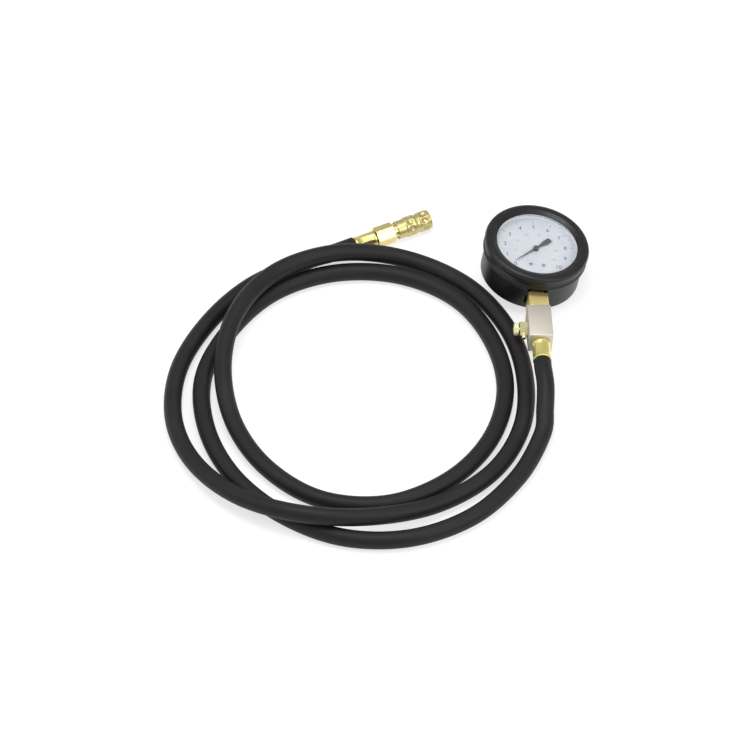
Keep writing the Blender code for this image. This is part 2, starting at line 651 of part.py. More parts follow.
def make_tube(head, finishes):
    """The flattened tube round the movement, and the cap that closes its free end."""
    root_angle = -math.pi / 2 - math.asin(
        (SOCKET_HALF_WIDTH + GAP) / (TUBE_RADIUS - TUBE_HALF_WIDTH))
    first = TUBE_TIP_ANGLE
    last = root_angle + 2 * math.pi
    path = arc_steps(first, last, TUBE_RADIUS, STEM_HEIGHT, 20)
    shape = bmesh.new()
    outside = flat_tube_section(TUBE_HALF_WIDTH, TUBE_HALF_HEIGHT)
    inside = flat_tube_section(TUBE_HALF_WIDTH - TUBE_WALL, TUBE_HALF_HEIGHT - TUBE_WALL)
    walls = []
    for section in (outside, inside):
        rings = [[shape.verts.new(step @ Vector((x, y, 0.0))) for x, y in section]
                 for step in path]
        for low, high in zip(rings, rings[1:]):
            for k in range(len(section)):
                after = (k + 1) % len(section)
                shape.faces.new((low[k], low[after], high[after], high[k]))
        walls.append(rings)
    for end in (0, -1):
        outer, inner = walls[0][end], walls[1][end]
        for k in range(len(outer)):
            after = (k + 1) % len(outer)
            shape.faces.new((outer[k], outer[after], inner[after], inner[k]))
    piece("bourdon_tube", shape, finishes["brass"], head)
    cap_gap = GAP / TUBE_RADIUS
    half = TUBE_HALF_WIDTH + 0.0005
    section = ((-half, -TUBE_HALF_HEIGHT), (half, -TUBE_HALF_HEIGHT),
               (half, TUBE_HALF_HEIGHT), (-half, TUBE_HALF_HEIGHT))
    cap = piece("tube_tip", swept(section, arc_steps(
        first - cap_gap - TIP_LENGTH_ANGLE, first - cap_gap, TUBE_RADIUS, STEM_HEIGHT, 3)),
        finishes["brass"], head)
    combine(cap, piece("tip_hole_cutter", rod(
        LINK_PIN_RADIUS + GAP, LINK_BOTTOM - 0.0030, LINK_BOTTOM + 0.001, 12, TIP_PIN),
        None, head))


def make_plates(head, finishes):
    """Two plates, the pillars between them and the screws on the socket's seat."""
    outline = hull_outline([(0, 0, 0.0040), (*SECTOR_PIVOT, 0.0030)]
                           + [(x, y, 0.0028) for x, y in PILLAR_PLACES])
    back_top = BACK_PLATE_BOTTOM + PLATE_THICKNESS
    front_top = FRONT_PLATE_BOTTOM + PLATE_THICKNESS
    pivots = [(0.0, 0.0), SECTOR_PIVOT]
    spigot = SCREW_RADIUS + 0.0001
    for name, bottom in (("movement_back_plate", BACK_PLATE_BOTTOM),
                         ("movement_front_plate", FRONT_PLATE_BOTTOM)):
        top = bottom + PLATE_THICKNESS
        made = piece(name, plate(outline, bottom, top), finishes["brass"], head)
        holes = rods(pivots, PIVOT_HOLE_RADIUS, bottom - 0.001, top + 0.001, 12)
        for place in PILLAR_PLACES:
            rod(spigot + GAP, bottom - 0.001, top + 0.001, 12, place, holes)
        if bottom == BACK_PLATE_BOTTOM:
            for place in MOVEMENT_SCREW_PLACES:
                rod(SCREW_RADIUS + GAP, bottom - 0.001, top + 0.001, 12, place, holes)
        combine(made, piece(name + "_cutter", holes, None, head))
    repeated("movement_pillar", turned((
        (0.0, BACK_PLATE_BOTTOM + 0.0001), (spigot, BACK_PLATE_BOTTOM + 0.0001),
        (spigot, back_top + GAP), (PILLAR_RADIUS, back_top + GAP),
        (PILLAR_RADIUS, FRONT_PLATE_BOTTOM - GAP), (spigot, FRONT_PLATE_BOTTOM - GAP),
        (spigot, front_top + 0.0002), (0.0, front_top + 0.0002)), 12),
        finishes["brass"], head, [(x, y, 0) for x, y in PILLAR_PLACES])
    head_bottom = back_top + GAP
    repeated("movement_screw", turned((
        (0.0, SEAT_TOP - 0.0026), (SCREW_RADIUS, SEAT_TOP - 0.0026),
        (SCREW_RADIUS, head_bottom), (SCREW_HEAD_RADIUS, head_bottom),
        (SCREW_HEAD_RADIUS, head_bottom + 0.0008), (0.0, head_bottom + 0.0008)), 12),
        finishes["steel"], head, [(x, y, 0) for x, y in MOVEMENT_SCREW_PLACES])


def tooth_outline(pitch_radius, angles, addendum, dedendum):
    """Points of straight-sided teeth that stand out of a round body."""
    points = []
    root = pitch_radius - dedendum
    tip = pitch_radius + addendum
    for angle in angles:
        for radius, half in ((root, 0.00040), (tip, 0.00013)):
            points.append((radius, angle - half / radius))
        for radius, half in ((tip, 0.00013), (root, 0.00040)):
            points.append((radius, angle + half / radius))
    return [(r * math.cos(a), r * math.sin(a)) for r, a in points]


def make_gears(head, finishes):
    """Sector gear with its tail, and the pinion cut on the pointer's arbor."""
    addendum = 0.9 * GEAR_MODULE
    dedendum = 1.4 * GEAR_MODULE
    step = 2 * math.pi / SECTOR_FULL_TEETH
    mesh_angle = SECTOR_DIRECTION + math.pi
    pitch = GEAR_MODULE * SECTOR_FULL_TEETH / 2
    angles = [mesh_angle + k * step
              for k in range(-SECTOR_TEETH_BEFORE, SECTOR_TEETH_AFTER + 1)]
    rim = tooth_outline(pitch, angles, addendum, dedendum)
    inner = pitch - dedendum - 0.0014
    rim_end = [(inner * math.cos(a), inner * math.sin(a))
               for a in (angles[-1] + step * 0.3, angles[-1] - step)]
    rim_start = [(inner * math.cos(a), inner * math.sin(a))
                 for a in (angles[0] + step, angles[0] - step * 0.3)]
    middle = (angles[0] + angles[-1]) / 2
    boss = 0.0024
    tail_side = TAIL_DIRECTION
    spread = math.radians(65)

    def at(radius, angle):
        return (radius * math.cos(angle), radius * math.sin(angle))

    tail_half = 0.0016
    tail_tip = [(TAIL_RADIUS * math.cos(tail_side) + tail_half * math.cos(tail_side + a),
                 TAIL_RADIUS * math.sin(tail_side) + tail_half * math.sin(tail_side + a))
                for a in (math.radians(d) for d in (-90, -45, 0, 45, 90))]
    turn = 2 * math.pi
    left = [at(boss, middle + spread), at(boss, middle + math.radians(95)),
            at(boss, tail_side + turn - spread)]
    right = [at(boss, tail_side + spread), at(boss, middle - spread)]
    web = math.radians(13)
    outline = (rim + rim_end + [at(inner, middle + web)] + left + tail_tip + right
               + [at(inner, middle - web)] + rim_start)
    sector = piece("sector_gear", plate(outline, SECTOR_BOTTOM,
                                        SECTOR_BOTTOM + SECTOR_THICKNESS),
                   finishes["brass"], head, (*SECTOR_PIVOT, 0))
    holes = rod(ARBOR_RADIUS + GAP, SECTOR_BOTTOM - 0.001, SECTOR_BOTTOM + 0.002, 12)
    rod(LINK_PIN_RADIUS + GAP, SECTOR_BOTTOM - 0.001, SECTOR_BOTTOM + 0.002, 12,
        at(TAIL_RADIUS, TAIL_DIRECTION), holes)
    combine(sector, piece("sector_hole_cutter", holes, None, head, (*SECTOR_PIVOT, 0)))
    low = BACK_PLATE_BOTTOM + 0.0002
    high = FRONT_PLATE_BOTTOM + PLATE_THICKNESS - 0.0002
    piece("sector_arbor", rod(ARBOR_RADIUS, low, high, 16), finishes["steel"], head,
          (*SECTOR_PIVOT, 0))
    pinion_pitch = GEAR_MODULE * PINION_TEETH / 2
    pinion_step = 2 * math.pi / PINION_TEETH
    teeth = [SECTOR_DIRECTION + pinion_step * (k + 0.5) for k in range(PINION_TEETH)]
    gear_top = SECTOR_BOTTOM + SECTOR_THICKNESS + 0.0006
    pinion = piece("pinion_arbor", plate(
        tooth_outline(pinion_pitch, teeth, addendum, dedendum), SECTOR_BOTTOM - 0.0006,
        gear_top), finishes["steel"], head)
    collet = (gear_top + 0.0004, gear_top + 0.0014)
    arbor = piece("arbor_operand", turned((
        (0.0, low), (ARBOR_RADIUS, low), (ARBOR_RADIUS, collet[0]),
        (0.0013, collet[0]), (0.0013, collet[1]), (ARBOR_RADIUS, collet[1]),
        (ARBOR_RADIUS, DIAL_FACE + 0.0019), (0.0, DIAL_FACE + 0.0019)), 16), None, head)
    combine(pinion, arbor, "UNION")
    return collet


def make_hairspring(head, finishes, collet):
    """Flat spiral from the collet on the pinion to a stud under the front plate."""
    steps = int(HAIRSPRING_TURNS * 14)
    section = ((-HAIRSPRING_STRIP / 2, -HAIRSPRING_HEIGHT / 2),
               (HAIRSPRING_STRIP / 2, -HAIRSPRING_HEIGHT / 2),
               (HAIRSPRING_STRIP / 2, HAIRSPRING_HEIGHT / 2),
               (-HAIRSPRING_STRIP / 2, HAIRSPRING_HEIGHT / 2))
    height = (collet[0] + collet[1]) / 2
    path = []
    for k in range(steps + 1):
        turns = HAIRSPRING_TURNS * k / steps
        path.append(Matrix.Rotation(2 * math.pi * turns, 4, "Z")
                    @ Matrix.Translation((HAIRSPRING_INNER + HAIRSPRING_PITCH * turns, 0,
                                          height))
                    @ Matrix.Rotation(math.pi / 2, 4, "X"))
    piece("hairspring", swept(section, path), finishes["bronze"], head)
    end_angle = 2 * math.pi * HAIRSPRING_TURNS
    end_radius = HAIRSPRING_INNER + HAIRSPRING_PITCH * HAIRSPRING_TURNS
    stud = end_radius + HAIRSPRING_STRIP / 2 + 0.0007 + GAP
    piece("hairspring_stud", rod(0.0007, height - 0.0006, FRONT_PLATE_BOTTOM - GAP / 3, 12,
                                 (stud * math.cos(end_angle), stud * math.sin(end_angle))),
          finishes["brass"], head)


def make_link(head, finishes):
    """Link between the sector's tail and the tube's tip, with its two pins."""
    offset = (TIP_PIN[0] - TAIL_PIN[0], TIP_PIN[1] - TAIL_PIN[1])
    eye = 0.0016
    outline = hull_outline([(0, 0, eye), (*offset, eye)], 12)
    link = piece("tube_link", plate(outline, LINK_BOTTOM, LINK_TOP), finishes["brass"],
                 head, (*TAIL_PIN, 0))
    ends = ((0.0, 0.0), offset)
    combine(link, piece("link_hole_cutter", rods(
        ends, LINK_PIN_RADIUS + GAP, LINK_BOTTOM - 0.001, LINK_TOP + 0.001, 12),
        None, head, (*TAIL_PIN, 0)))
    for name, place, foot in (("tail_pin", TAIL_PIN, SECTOR_BOTTOM - 0.0004),
                              ("tip_pin", TIP_PIN, LINK_BOTTOM)):
        piece(name, turned((
            (0.0, foot), (LINK_PIN_RADIUS, foot), (LINK_PIN_RADIUS, LINK_TOP + GAP),
            (0.0012, LINK_TOP + GAP), (0.0012, LINK_TOP + GAP + 0.0004),
            (0.0, LINK_TOP + GAP + 0.0004)), 12), finishes["steel"], head, (*place, 0))


def make_pointer(head, finishes):
    """Pointer with a fine tip and a broad counterweight, at zero."""
    half = POINTER_TAIL_WIDTH / 2
    bottom = DIAL_FACE + 0.0010
    outline = ((POINTER_TIP, 0.00010), (0.0030, 0.00055), (0.0, 0.0009),
               (-0.0030, 0.0008), (-POINTER_TAIL * 0.62, half * 0.85),
               (-POINTER_TAIL * 0.93, half), (-POINTER_TAIL, half * 0.75),
               (-POINTER_TAIL, -half * 0.75), (-POINTER_TAIL * 0.93, -half),
               (-POINTER_TAIL * 0.62, -half * 0.85), (-0.0030, -0.0008), (0.0, -0.0009),
               (0.0030, -0.00055), (POINTER_TIP, -0.00010))
    pointer = piece("pointer", plate(outline, bottom, bottom + POINTER_THICKNESS),
                    finishes["black_paint"], head, (0, 0, 0), (0, 0, POINTER_ZERO))
    hub_bottom = DIAL_FACE + 0.0006
    hub_top = hub_bottom + 0.0019
    hub = piece("pointer_hub_operand", turned((
        (0.0, hub_bottom), (POINTER_HUB_RADIUS, hub_bottom),
        (POINTER_HUB_RADIUS, hub_top - 0.0004), (POINTER_HUB_RADIUS - 0.0004, hub_top),
        (0.0, hub_top)), 24), None, head)
    combine(pointer, hub, "UNION")
    combine(pointer, piece("pointer_bore_cutter", rod(
        ARBOR_RADIUS + GAP, hub_bottom - 0.001, DIAL_FACE + 0.0019 + GAP, 16), None, head))


def make_case_back(head, finishes):
    """Screws that hold the socket, and the relief plug in the back of the case."""
    head_top = CASE_FLOOR - GAP
    screw_end = CASE_FLOOR + CASE_WALL + GAP + 0.0030
    repeated("case_screw", turned((
        (0.0, BOOT_INSIDE + GAP), (0.0017, BOOT_INSIDE + GAP), (0.0017, head_top),
        (SCREW_RADIUS, head_top), (SCREW_RADIUS, screw_end), (0.0, screw_end)), 12),
        finishes["steel"], head, [(x, y, 0) for x, y in CASE_SCREW_PLACES])
    radius = RELIEF_PLUG_RADIUS
    piece("relief_plug", turned((
        (0.0, BOOT_INSIDE + GAP), (radius + 0.0010, BOOT_INSIDE + GAP),
        (radius + 0.0010, head_top), (radius, head_top),
        (radius, CASE_FLOOR + CASE_WALL + 0.0004), (0.0, CASE_FLOOR + CASE_WALL + 0.0004)),
        24), finishes["rubber"], head, (*RELIEF_PLUG_PLACE, 0))


# Manifold block, bleed valve and hose end

def make_block(stem, finishes):
    half = BLOCK_WIDTH / 2
    block = bevelled(piece("manifold_block", box(
        (-half, -half, BLOCK_START), (half, half, BLOCK_END)), finishes["nickel"], stem),
        BLOCK_CHAMFER)
    upper = STEM_THREAD_RADIUS + GAP
    lower = NIPPLE_THREAD_RADIUS + GAP
    combine(block, piece("block_bore_cutter", turned((
        (0.0, BLOCK_START - 0.001), (upper, BLOCK_START - 0.001),
        (upper, BLOCK_START + BLOCK_THREAD_DEPTH),
        (BLOCK_CHANNEL_RADIUS, BLOCK_START + BLOCK_THREAD_DEPTH),
        (BLOCK_CHANNEL_RADIUS, BLOCK_END - BLOCK_THREAD_DEPTH),
        (lower, BLOCK_END - BLOCK_THREAD_DEPTH), (lower, BLOCK_END + 0.001),
        (0.0, BLOCK_END + 0.001)), MEDIUM_ROUND), None, stem))
    side = piece("block_side_cutter", turned((
        (0.0, 0.0005), (BLEED_SEAT_RADIUS, 0.0005),
        (BLEED_SEAT_RADIUS, BLEED_THREAD_INNER - GAP),
        (BLEED_THREAD_RADIUS + GAP, BLEED_THREAD_INNER - GAP),
        (BLEED_THREAD_RADIUS + GAP, half + 0.001), (0.0, half + 0.001)), 24),
        None, stem, (0, 0, BLOCK_START + BLEED_STATION), (0, -math.pi / 2, 0))
    return combine(block, side)


def make_bleed_valve(stem, finishes):
    """Bleed valve on the block's left side: hexagon body, side spout, thumb screw."""
    base = (0, 0, BLOCK_START + BLEED_STATION)
    turn = (0, -math.pi / 2, 0)
    hex_end = BLEED_HEX_START + BLEED_HEX_LENGTH
    corner = BLEED_HEX_FLATS / math.sqrt(3)
    body = piece("bleed_body", turned((
        (0.0, BLEED_THREAD_INNER), (BLEED_THREAD_RADIUS - 0.0004, BLEED_THREAD_INNER),
        (BLEED_THREAD_RADIUS, BLEED_THREAD_INNER + 0.0004),
        (BLEED_THREAD_RADIUS, hex_end - 0.001), (0.0, hex_end - 0.001)), 24),
        finishes["brass"], stem, base, turn)
    combine(body, piece("bleed_hex_operand", turned((
        (0.0, BLEED_HEX_START), (corner - 0.0005, BLEED_HEX_START),
        (corner, BLEED_HEX_START + 0.0004), (corner, hex_end - 0.0004),
        (corner - 0.0005, hex_end), (0.0, hex_end)), 6), None, stem, base, turn), "UNION")
    spout_middle = (BLEED_HEX_START + hex_end) / 2
    spout = piece("bleed_spout_operand", turned((
        (0.0, 0.0005), (SPOUT_RADIUS, 0.0005), (SPOUT_RADIUS, SPOUT_REACH - 0.0003),
        (SPOUT_RADIUS - 0.0003, SPOUT_REACH), (0.0, SPOUT_REACH)), 16), None, stem,
        (-spout_middle, 0, base[2]), (0, 0, 0))
    combine(body, spout, "UNION")
    thread = BLEED_SCREW_RADIUS + RUNNING_GAP
    seat = BLEED_SCREW_REACH - RUNNING_GAP
    combine(body, piece("bleed_bore_cutter", turned((
        (0.0, BLEED_THREAD_INNER - 0.001), (BLEED_SEAT_RADIUS, BLEED_THREAD_INNER - 0.001),
        (BLEED_SEAT_RADIUS, seat), (thread, seat + thread - BLEED_SEAT_RADIUS),
        (thread, hex_end + 0.001), (0.0, hex_end + 0.001)), 16), None, stem, base, turn))
    combine(body, piece("spout_bore_cutter", rod(
        SPOUT_BORE_RADIUS, 0.0012, SPOUT_REACH + 0.001, 12), None, stem,
        (-spout_middle, 0, base[2]), (0, 0, 0)))
    knob_start = hex_end + 2 * RUNNING_GAP
    knob_end = knob_start + BLEED_KNOB_LENGTH
    knob_radius = BLEED_KNOB_RADIUS
    shape = turned((
        (0.0, BLEED_SCREW_REACH),
        (BLEED_SCREW_RADIUS, BLEED_SCREW_REACH + BLEED_SCREW_RADIUS),
        (BLEED_SCREW_RADIUS, knob_start), (knob_radius - 0.0010, knob_start),
        (knob_radius, knob_start + 0.0005), (knob_radius, knob_end - 0.0006),
        (knob_radius - 0.0006, knob_end), (0.0, knob_end)), 2 * KNOB_FLUTES)
    stretch_rings(shape, knob_start + 0.0003, knob_end - 0.0003, lambda angle, radius: (
        1 - (KNOB_FLUTE_DEPTH / radius) * (round(angle / (math.pi / KNOB_FLUTES)) % 2)
        if radius > knob_radius - 0.0002 else 1))
    piece("bleed_screw", shape, finishes["brass"], stem, base, turn)


def crimped(shape, low, high, radius, sides):
    """Press flats into a round shell between two heights."""
    step = 2 * math.pi / sides

    def flat(angle, at_radius):
        if at_radius < radius - 0.0004:
            return 1.0
        off = (angle + math.pi) % step - step / 2
        return math.cos(step / 2) * 0.995 / math.cos(off) if abs(off) < step / 2 else 1.0

    return stretch_rings(shape, low, high, flat)


def ferrule_shape(radius, bore, start, length):
    """Crimp shell with a bead at each end."""
    end = start + length
    shape = turned((
        (bore, start), (radius - 0.0006, start), (radius, start + 0.0006),
        (radius, start + 0.0022), (radius - 0.0002, start + 0.0028),
        (radius - 0.0002, end - 0.0024), (radius, end - 0.0018), (radius, end - 0.0005),
        (radius - 0.0005, end), (bore, end)), MEDIUM_ROUND)
    return crimped(shape, start + 0.0026, end - 0.0022, radius, FERRULE_CRIMPS)


def nipple_shape(tail_start, thread_end, thread_radius, shoulder, barb_end):
    """Bored nipple: thread from tail_start to thread_end, barbs on to barb_end."""
    profile = [(NIPPLE_BORE_RADIUS, tail_start), (thread_radius - 0.0005, tail_start),
               (thread_radius, tail_start + 0.0005), (thread_radius, thread_end),
               (shoulder, thread_end)]
    count = 3
    pitch = (barb_end - thread_end - 0.001) / count
    for k in range(count):
        low = thread_end + 0.001 + k * pitch
        profile += [(NIPPLE_BARB_RADIUS - 0.0005, low), (NIPPLE_BARB_RADIUS, low + 0.0004)]
    profile += [(NIPPLE_BARB_RADIUS - 0.0006, barb_end), (NIPPLE_BORE_RADIUS, barb_end)]
    return turned(profile, SMALL_ROUND)


def make_hose_end(stem, finishes):
    """Threaded nipple in the block, and the ferrule crimped over the hose."""
    thread_start = BLOCK_END - BLOCK_THREAD_DEPTH + 0.0015
    piece("head_hose_nipple", nipple_shape(
        thread_start, BLOCK_END - GAP, NIPPLE_THREAD_RADIUS, NIPPLE_BARB_RADIUS - 0.0005,
        FERRULE_START + FERRULE_LENGTH - 0.0006), finishes["brass"], stem)
    piece("head_ferrule", ferrule_shape(FERRULE_RADIUS, NIPPLE_BARB_RADIUS + GAP,
                                        FERRULE_START, FERRULE_LENGTH),
          finishes["brass"], stem)


# Hose

def smooth_route(points, count):
    """Read evenly spaced points from a smooth curve through the route's points.

    The first and last spans stay straight, so the hose meets its ferrules squarely.
    """
    ends = [2 * points[0] - points[1]] + points + [2 * points[-1] - points[-2]]
    fine = []
    for a, b, c, d in zip(ends, ends[1:], ends[2:], ends[3:]):
        for k in range(12):
            t = k / 12
            fine.append(0.5 * (2 * b + (c - a) * t + (2 * a - 5 * b + 4 * c - d) * t ** 2
                               + (3 * b - a - 3 * c + d) * t ** 3))
    fine = fine[12:-12] + [points[-2]]
    reach = [0.0]
    for a, b in zip(fine, fine[1:]):
        reach.append(reach[-1] + (b - a).length)
    even = [points[0]]
    spot = 0
    for k in range(count - 2):
        want = reach[-1] * k / (count - 3)
        while spot < len(reach) - 2 and reach[spot + 1] < want:
            spot += 1
        share = (want - reach[spot]) / (reach[spot + 1] - reach[spot])
        even.append(fine[spot].lerp(fine[spot + 1], min(1.0, share)))
    return even + [points[-1]]


def make_hose(stem_matrix, rubber):
    """The whole hose as one tube, from the head's ferrule to the coupler's."""
    first = stem_matrix @ Vector((0, 0, HOSE_START))
    second = stem_matrix @ Vector((0, 0, HOSE_START + HOSE_LEAD_OUT))
    along = Vector((math.cos(COUPLER_YAW), math.sin(COUPLER_YAW), 0))
    last = Vector(COUPLER_PLACE)
    points = ([first, second] + [Vector(p) / 1000 for p in ROUTE_MM]
              + [last - along * HOSE_LEAD_IN, last])
    curve = bpy.data.curves.new("hose", "CURVE")
    curve.dimensions = "3D"
    curve.bevel_depth = HOSE_RADIUS
    curve.bevel_resolution = HOSE_BEVEL_RESOLUTION
    curve.use_fill_caps = True
    line = curve.splines.new("POLY")
    even = smooth_route(points, HOSE_POINTS)
    line.points.add(len(even) - 1)
    for point, place in zip(line.points, even):
        point.co = (*place, 1.0)
    curve.materials.append(own_finish(rubber, "hose"))
    hose = bpy.data.objects.new("hose", curve)
    bpy.context.scene.collection.objects.link(hose)
    return hose


# Quick coupler

def make_coupler_tail(coupler, finishes):
    """Ferrule on the hose and the nipple that screws into the coupler's body."""
    piece("coupler_ferrule", ferrule_shape(COUPLER_FERRULE_RADIUS,
                                           NIPPLE_BARB_RADIUS + GAP, GAP,
                                           COUPLER_FERRULE_LENGTH),
          finishes["brass"], coupler)
    shape = nipple_shape(0.0, NIPPLE_BODY_THREAD_LENGTH, NIPPLE_BODY_THREAD_RADIUS,
                         NIPPLE_BARB_RADIUS - 0.0005, CHAMBER_START - 0.0012)
    shape.transform(Matrix.Translation((0, 0, CHAMBER_START - 0.0004))
                    @ Matrix.Rotation(math.pi, 4, "X"))
    piece("coupler_nipple", shape, finishes["brass"], coupler)


def make_coupler_body(coupler, finishes):
    """Hexagon with a front barrel, bored for the plug, the throat and the valve."""
    corner = HEX_FLATS / math.sqrt(3)
    chamfer = corner - HEX_FLATS / 2
    hexagon = turned((
        (0.0, HEX_START), (corner - chamfer, HEX_START), (corner, HEX_START + 0.0007),
        (corner, HEX_END - 0.0007), (corner - chamfer, HEX_END), (0.0, HEX_END)), 6)
    hexagon.transform(Matrix.Rotation(HEX_TURN, 4, "Z"))
    body = piece("coupler_body", hexagon, finishes["brass"], coupler)
    combine(body, piece("body_barrel_operand", turned((
        (0.0, HEX_END - 0.002), (BODY_NECK_RADIUS, HEX_END - 0.002),
        (BODY_NECK_RADIUS, BODY_SHOULDER), (BODY_FRONT_RADIUS, BODY_SHOULDER),
        (BODY_FRONT_RADIUS, BODY_END), (0.0, BODY_END)), MEDIUM_ROUND), None, coupler), "UNION")
    throat_end = THROAT_START + THROAT_LENGTH
    combine(body, piece("body_bore_cutter", turned((
        (0.0, HEX_START - 0.001), (BODY_THREAD_BORE, HEX_START - 0.001),
        (BODY_THREAD_BORE, CHAMBER_START), (PLUG_BORE_RADIUS, CHAMBER_START),
        (PLUG_BORE_RADIUS, THROAT_START), (THROAT_RADIUS, THROAT_START),
        (THROAT_RADIUS, throat_end), (PLUG_BORE_RADIUS, throat_end),
        (PLUG_BORE_RADIUS, BODY_END - 0.0004), (PLUG_BORE_RADIUS + 0.0004, BODY_END),
        (PLUG_BORE_RADIUS + 0.0004, BODY_END + 0.001), (0.0, BODY_END + 0.001)), MEDIUM_ROUND),
        None, coupler))
    sockets = bmesh.new()
    for k in range(BALL_COUNT):
        hole = rod(BALL_RADIUS + RUNNING_GAP, PLUG_BORE_RADIUS - 0.002,
                   BODY_FRONT_RADIUS + 0.002, 12)
        add_moved(sockets, hole, ball_turn(k) @ Matrix.Rotation(math.pi / 2, 4, "Y"))
    combine(body, piece("ball_hole_cutter", sockets, None, coupler))
    ring_place = snap_ring_station()
    combine(body, piece("ring_groove_cutter", turned((
        (BODY_FRONT_RADIUS - SNAP_RING_WIRE, ring_place - SNAP_RING_WIRE - GAP / 2),
        (BODY_FRONT_RADIUS + 0.001, ring_place - SNAP_RING_WIRE - GAP / 2),
        (BODY_FRONT_RADIUS + 0.001, ring_place + SNAP_RING_WIRE + GAP / 2),
        (BODY_FRONT_RADIUS - SNAP_RING_WIRE, ring_place + SNAP_RING_WIRE + GAP / 2)), MEDIUM_ROUND),
        None, coupler))


def ball_turn(number):
    """Frame of one locking ball's hole, at its station on the axis."""
    return (Matrix.Translation((0, 0, BALL_STATION))
            @ Matrix.Rotation(2 * math.pi * (number + 0.5) / BALL_COUNT, 4, "Z"))


def snap_ring_station():
    """Place of the snap ring, just ahead of the sleeve's front lip."""
    return (SLEEVE_RELEASE_START + SLEEVE_RELEASE_LENGTH + SLEEVE_LIP + GAP
            + SNAP_RING_WIRE)


def make_sleeve(coupler, finishes):
    """Sliding sleeve: plain collar, two scalloped bands, and its bore's steps."""
    land = BODY_FRONT_RADIUS + RUNNING_GAP
    release_end = SLEEVE_RELEASE_START + SLEEVE_RELEASE_LENGTH
    lip_end = release_end + SLEEVE_LIP
    collar_end = SLEEVE_START + SLEEVE_COLLAR_LENGTH
    band, groove = SLEEVE_BAND_RADIUS, SLEEVE_GROOVE_RADIUS
    middle = (collar_end + SLEEVE_END) / 2
    profile = [
        (SLEEVE_CHAMBER_RADIUS, SLEEVE_START), (SLEEVE_COLLAR_RADIUS - 0.0003, SLEEVE_START),
        (SLEEVE_COLLAR_RADIUS, SLEEVE_START + 0.0003), (SLEEVE_COLLAR_RADIUS, collar_end),
        (band, collar_end + 0.0007), (band, collar_end + 0.0040),
        (band, collar_end + 0.0073), (groove, middle - 0.0012), (groove, middle + 0.0008),
        (band, middle + 0.0014), (band, middle + 0.0046), (band, SLEEVE_END - 0.0029),
        (groove + 0.0003, SLEEVE_END - 0.0018), (groove + 0.0003, SLEEVE_END - 0.0005),
        (groove - 0.0001, SLEEVE_END),
        (SLEEVE_CHAMBER_RADIUS, SLEEVE_END), (SLEEVE_CHAMBER_RADIUS, lip_end),
        (land, lip_end), (land, release_end),
        (SLEEVE_CHAMBER_RADIUS, release_end), (SLEEVE_CHAMBER_RADIUS, SLEEVE_RELEASE_START),
        (land, SLEEVE_RELEASE_START), (land, SLEEVE_LAND_START),
        (SLEEVE_CHAMBER_RADIUS, SLEEVE_LAND_START)]
    shape = turned(profile, 3 * SLEEVE_SCALLOPS)
    scallop = 2 * math.pi / SLEEVE_SCALLOPS
    for low, high, shift in ((collar_end + 0.0020, collar_end + 0.0060, 0.0),
                             (middle + 0.0026, middle + 0.0066, 0.5)):
        def dent(angle, radius, shift=shift):
            if radius < groove:
                return 1.0
            wave = 0.5 - 0.5 * math.cos(2 * math.pi * (angle / scallop + shift))
            return 1 - SCALLOP_DEPTH * wave / radius
        stretch_rings(shape, low, high, dent)
    piece("coupler_sleeve", shape, finishes["brass"], coupler)


def make_coupler_inside(coupler, finishes):
    """Sleeve spring, snap ring, balls, and the poppet valve with its spring and seal."""
    piece("sleeve_spring", coil_spring(
        (BODY_FRONT_RADIUS + SLEEVE_CHAMBER_RADIUS) / 2, SPRING_WIRE,
        BODY_SHOULDER + GAP / 2, SLEEVE_LAND_START - GAP / 2, SLEEVE_SPRING_TURNS),
        finishes["spring_steel"], coupler)
    piece("snap_ring", wire_ring(BODY_FRONT_RADIUS + GAP, SNAP_RING_WIRE,
                                 snap_ring_station(), sweep=math.radians(330)),
          finishes["spring_steel"], coupler)
    ball = bmesh.new()
    bmesh.ops.create_uvsphere(ball, u_segments=8, v_segments=6, radius=BALL_RADIUS)
    reach = Matrix.Translation((BODY_FRONT_RADIUS - BALL_RADIUS, 0, 0))
    repeated("locking_ball", ball, finishes["steel"], coupler,
             [(ball_turn(k) @ reach).to_translation() for k in range(BALL_COUNT)])
    front = THROAT_START - GAP
    back = front - POPPET_HEAD_LENGTH
    tip = front + POPPET_REACH
    stem = POPPET_STEM_RADIUS
    piece("poppet", turned((
        (0.0, back - 0.0050), (stem, back - 0.0050), (stem, back),
        (POPPET_HEAD_RADIUS, back), (POPPET_HEAD_RADIUS, front - 0.0007),
        (POPPET_HEAD_RADIUS - 0.0007, front), (stem, front), (stem, tip - 0.0003),
        (stem - 0.0003, tip), (0.0, tip)), SMALL_ROUND), finishes["brass"], coupler)
    piece("poppet_spring", coil_spring(
        POPPET_SPRING_RADIUS, SPRING_WIRE, CHAMBER_START - 0.0004 + GAP / 2, back - GAP / 2,
        POPPET_SPRING_TURNS), finishes["spring_steel"], coupler)
    piece("plug_seal", wire_ring(PLUG_BORE_RADIUS - SEAL_WIRE - 0.0002, SEAL_WIRE,
                                 THROAT_START + THROAT_LENGTH + SEAL_WIRE + 0.0002),
          finishes["rubber"], coupler)


